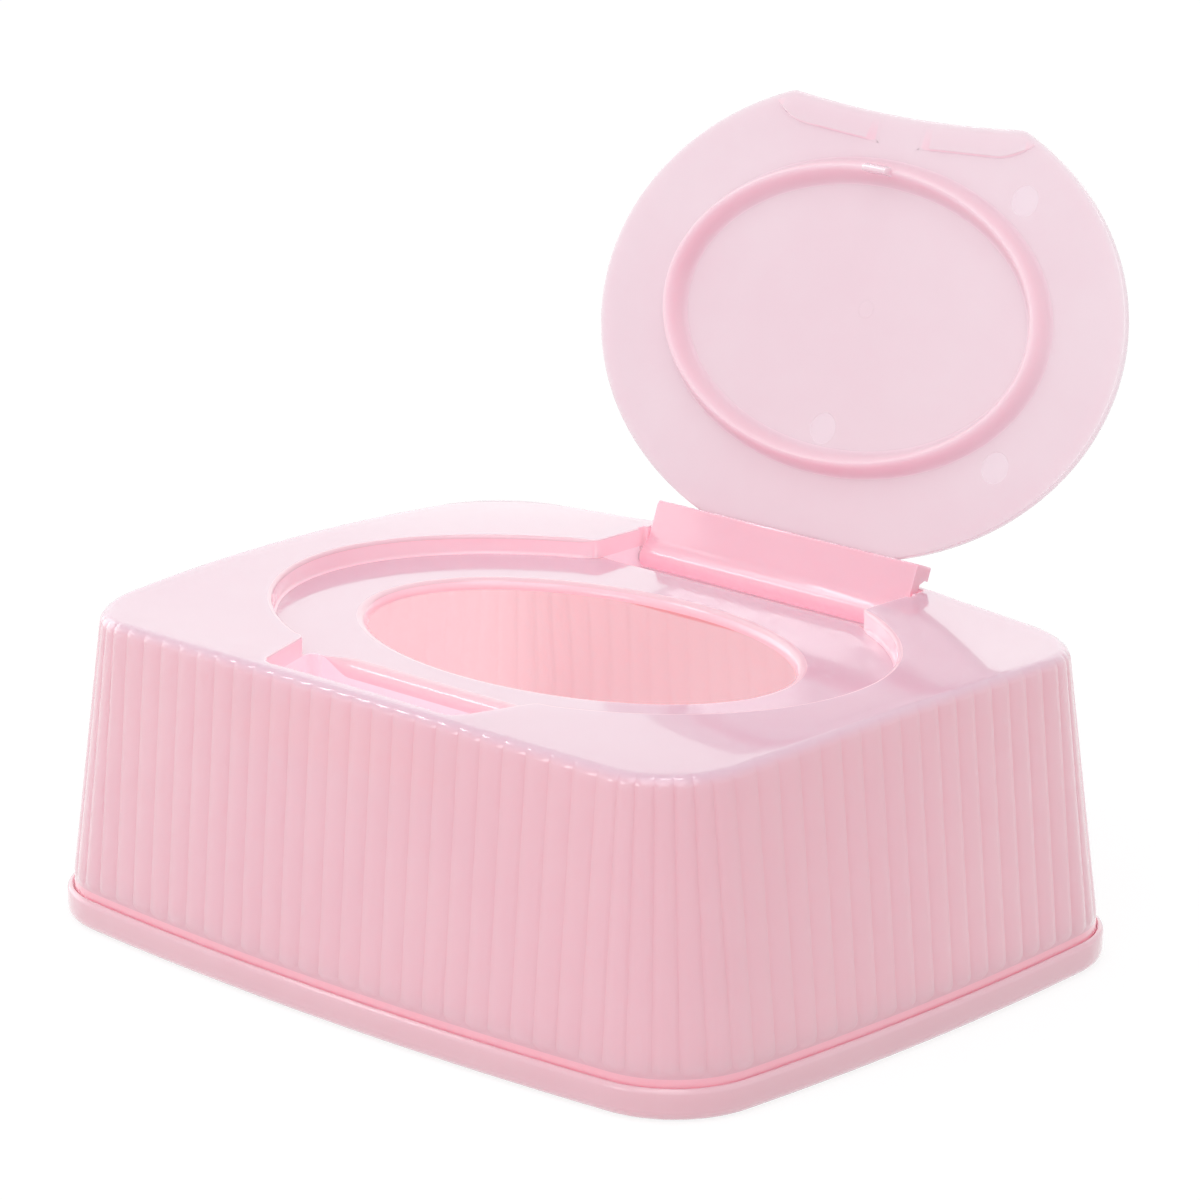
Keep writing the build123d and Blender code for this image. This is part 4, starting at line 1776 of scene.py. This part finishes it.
def seen_ray(tree: bpy.types.NodeTree) -> bpy.types.NodeSocket:
    """Tell the rays that see the surroundings from those that carry their light.

    Args:
        tree: the node tree of a material or world.

    Returns:
        A socket: 1 for rays from the camera and for reflected or refracted ones, else 0.
    """
    path = add_node(tree, "ShaderNodeLightPath")
    seen = path.outputs["Is Camera Ray"]
    for ray in ("Is Glossy Ray", "Is Transmission Ray"):
        either = add_node(tree, "ShaderNodeMath", {"operation": "MAXIMUM"},
                          {"0": seen, "1": path.outputs[ray]})
        seen = either.outputs["Value"]
    return seen


@dataclass(frozen=True)
class Studio:
    """Pale floor, white surroundings and soft lamps."""

    floor_size: float = 7.0
    floor_drop: float = 0.0002             # metres under the box, so that the two don't touch
    floor_colour: str = "#fafafa"
    floor_white: float = 1.06              # of the plain white that the camera sees
    floor_lift: float = 0.8                # its share in what the camera sees of the floor
    ambient: float = 0.71
    lamps: tuple[Softbox, ...] = (
        Softbox("overhead_softbox", (0.1, -0.1, 1.5), (0.0, 0.0, 0.05), 0.35, 0.35, 3.0),
        Softbox("high_front_softbox", (0.45, -0.8, 1.3), (0.0, 0.0, 0.05), 1.2, 1.2, 0.95),
        Softbox("left_edge_light", (-1.0, -0.5, 1.1), (0.0, 0.0, 0.05), 0.22, 0.22, 5.0),
        Softbox("front_softbox", (-0.35, -1.45, 0.55), (0.0, 0.0, 0.05), 0.5, 0.5, 2.0),
        Softbox("left_softbox", (-1.5, -0.1, 0.45), (0.0, 0.0, 0.03), 1.0, 0.8, 0.9),
        Softbox("rear_panel", (-1.0, 1.07, 0.62), (0.0, 0.0, 0.06), 2.0, 0.9, 0.25),
    )

    def floor(self) -> bpy.types.Object:
        """Lay the floor, white to the camera but for the object's soft shadow.

        Returns:
            The floor.
        """
        half = self.floor_size / 2
        mesh = bpy.data.meshes.new("studio_floor")
        corners = [(-half, -half), (half, -half), (half, half), (-half, half)]
        mesh.from_pydata([(x, y, -self.floor_drop) for x, y in corners], [], [(0, 1, 2, 3)])
        material = bpy.data.materials.new("white_seamless_paper")
        tree = empty_tree(material)
        paper = add_node(tree, "ShaderNodeBsdfDiffuse", {"Color": linear(self.floor_colour)})
        white = add_node(tree, "ShaderNodeEmission",
                         {"Color": linear("#ffffff"), "Strength": self.floor_white})
        share = add_node(tree, "ShaderNodeMapRange", {"To Min": 0.0, "To Max": self.floor_lift},
                         {"Value": seen_ray(tree)})
        mixed = add_node(tree, "ShaderNodeMixShader", links={
            "Fac": share.outputs["Result"], "1": paper.outputs["BSDF"],
            "2": white.outputs["Emission"]})
        add_node(tree, "ShaderNodeOutputMaterial", links={"Surface": mixed.outputs["Shader"]})
        mesh.materials.append(material)
        floor = bpy.data.objects.new("studio_floor", mesh)
        bpy.context.scene.collection.objects.link(floor)
        return floor

    def surroundings(self) -> None:
        """White to the camera and in reflections, a plain soft light on everything else."""
        world = bpy.data.worlds.new("studio_world")
        bpy.context.scene.world = world
        tree = empty_tree(world)
        strength = add_node(tree, "ShaderNodeMapRange", {"To Min": self.ambient, "To Max": 1.0},
                            {"Value": seen_ray(tree)})
        glow = add_node(tree, "ShaderNodeBackground", {"Color": linear("#ffffff")},
                        {"Strength": strength.outputs["Result"]})
        add_node(tree, "ShaderNodeOutputWorld", links={"Surface": glow.outputs["Background"]})

    def build(self) -> None:
        """Set up floor, surroundings and lamps."""
        self.floor()
        self.surroundings()
        for lamp in self.lamps:
            lamp.light()


@dataclass(frozen=True)
class Viewpoint:
    """The camera: a long lens that looks at the box's near corner from a little above."""

    azimuth: float = 43.33          # degrees round from the front
    elevation: float = 18.05
    distance: float = 1.07623       # metres from the point aimed at
    aim: Triple = (0.0, 0.0, 0.040)
    pan: float = 0.2123             # degrees
    tilt: float = -1.4793
    focal: float = 162.9            # millimetres
    sensor: float = 36.0            # its width, millimetres
    clip: Pair = (0.05, 20.0)       # metres

    def build(self) -> bpy.types.Object:
        """Place the camera and make it the scene's own.

        Returns:
            The camera.
        """
        around, up = math.radians(self.azimuth), math.radians(self.elevation)
        level_part = math.cos(up)
        back = Vector((math.sin(around) * level_part, -math.cos(around) * level_part, math.sin(up)))
        right = Vector((0, 0, 1)).cross(back).normalized()
        axes = Matrix((right, back.cross(right), back)).transposed()
        turned = (Matrix.Rotation(math.radians(self.tilt), 3, "X")
                  @ Matrix.Rotation(math.radians(self.pan), 3, "Y"))
        lens = bpy.data.cameras.new("camera")
        lens.lens, lens.sensor_width, lens.sensor_fit = self.focal, self.sensor, "HORIZONTAL"
        lens.clip_start, lens.clip_end = self.clip
        camera = bpy.data.objects.new("camera", lens)
        place = Vector(self.aim) + back * self.distance
        camera.matrix_world = Matrix.Translation(place) @ (axes @ turned.transposed()).to_4x4()
        bpy.context.scene.collection.objects.link(camera)
        bpy.context.scene.camera = camera
        return camera


# ---- Everything in order ----

SHORT_BLEED = (0.8, 0.6, 0.6)       # where little light gets in from the side, it stays near

# Off the polished mould: a clear gloss over one even, pale pink.
TRAY_PLASTIC = MouldedPolypropylene("tray", "#eabec8", "#e8bac5", bleed=(2.0, 2.0, 2.0))
HOUSING_PLASTIC = MouldedPolypropylene("housing", "#e8bbc6", "#e6b8c4")
# Seen from inside, the wall lets light through; a painted glow stands in for much of it.
INNER_WALL = MouldedPolypropylene("inner_wall", "#ffb8c0", "#feb3bc", bleed=(180.0, 24.0, 27.0),
                                  skin=0.3, glow="#703e3e")
# Light reaches the tray's inside through the walls: a pale colour and painted glow stand in for it.
TRAY_INSIDE = MouldedPolypropylene("tray_inside", "#f3e9ed", "#f1e5ea", bleed=SHORT_BLEED,
                                   skin=0.3, glow="#56575a")
# Round the recess, mouth and bores: a warm, full pink and a painted glow that lift their shade.
PAINTED_GLOW_WALL = MouldedPolypropylene("painted_glow_wall", "#fcc1ce", "#fbbecc", bleed=SHORT_BLEED,
                                  tinting=0.0, skin=0.6, skin_roughness=0.12, glow="#82777c")
# Notch and slot: a paler pink and a painted glow stand in for the light their narrow walls trade.
POCKET_WALL = replace(PAINTED_GLOW_WALL, name="pocket_wall", colour="#fcdbe4", flow="#fbd7e1",
                      glow="#7a7277")
# Rounded edges: a short bleed, a paler pink and a painted glow keep them as bright as the faces.
EDGE = replace(PAINTED_GLOW_WALL, name="edge", colour="#f4ccd6", flow="#f2c9d4", bleed=(1.0, 1.0, 1.0),
               glow="#3e3639")
# Where housing and tray meet, a fuller pink and a painted glow lift the seam's shade.
SEAM = MouldedPolypropylene("seam", "#efbac6", "#edb7c3", bleed=SHORT_BLEED, glow="#4c3036")
# The hinge panel's fuller pink and painted glow stand in for light falling through it from behind.
HINGE_PANEL = MouldedPolypropylene("hinge_panel", "#f5c3d1", "#f3bfce", bleed=SHORT_BLEED,
                                   skin=0.5, skin_roughness=0.12, glow="#463337")
# The lid's plate is an even sheet with light on both sides; its pale body colour paints that in.
LID_PLASTIC = MouldedPolypropylene("lid", "#e9d3db", "#e7ced7")
# The ring's narrow groove in the mould is hard to polish, so the ring has a soft, dull sheen.
# A painted glow lifts the shade on its lower side.
PLUG_RING = replace(LID_PLASTIC, name="plug_ring", roughness=0.5, skin=0.1, skin_roughness=0.3,
                    glow="#382a2d")
# An ejector pin's flat end leaves the skin matt, so its mark looks paler than the gloss round it.
WITNESS_MARK = MouldedPolypropylene("ejector_mark", "#ecd9e1", "#ead4dd", roughness=0.5, skin=0.3)


def main() -> None:
    """Load the frame, build the box's pieces on it and set the scene round them."""
    logging.basicConfig(level=logging.INFO, format="%(name)s: %(message)s")
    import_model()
    bpy.context.scene.view_settings.view_transform = "Standard"
    taper, reeding, hinge = Taper(), Reeding(), Hinge()
    # The seam's painted glow serves both the tray's seam and the housing's foot.
    seam = SEAM.material()
    tray = BaseTray(taper, reeding).build([TRAY_PLASTIC.material(), seam, TRAY_INSIDE.material()])
    housing = Housing(taper, reeding, DeckPlan(), hinge).build(
        [HOUSING_PLASTIC.material(), INNER_WALL.material(), PAINTED_GLOW_WALL.material(), seam,
         EDGE.material(), POCKET_WALL.material()])
    lid = FlipLid(hinge).build([LID_PLASTIC.material(), WITNESS_MARK.material(),
                                HINGE_PANEL.material(), PLUG_RING.material()])
    for piece in (tray, housing, lid):
        LOG.info("%s: %d faces", piece.name, len(piece.data.polygons))
    Studio().build()
    Viewpoint().build()


if __name__ == "__main__":
    main()
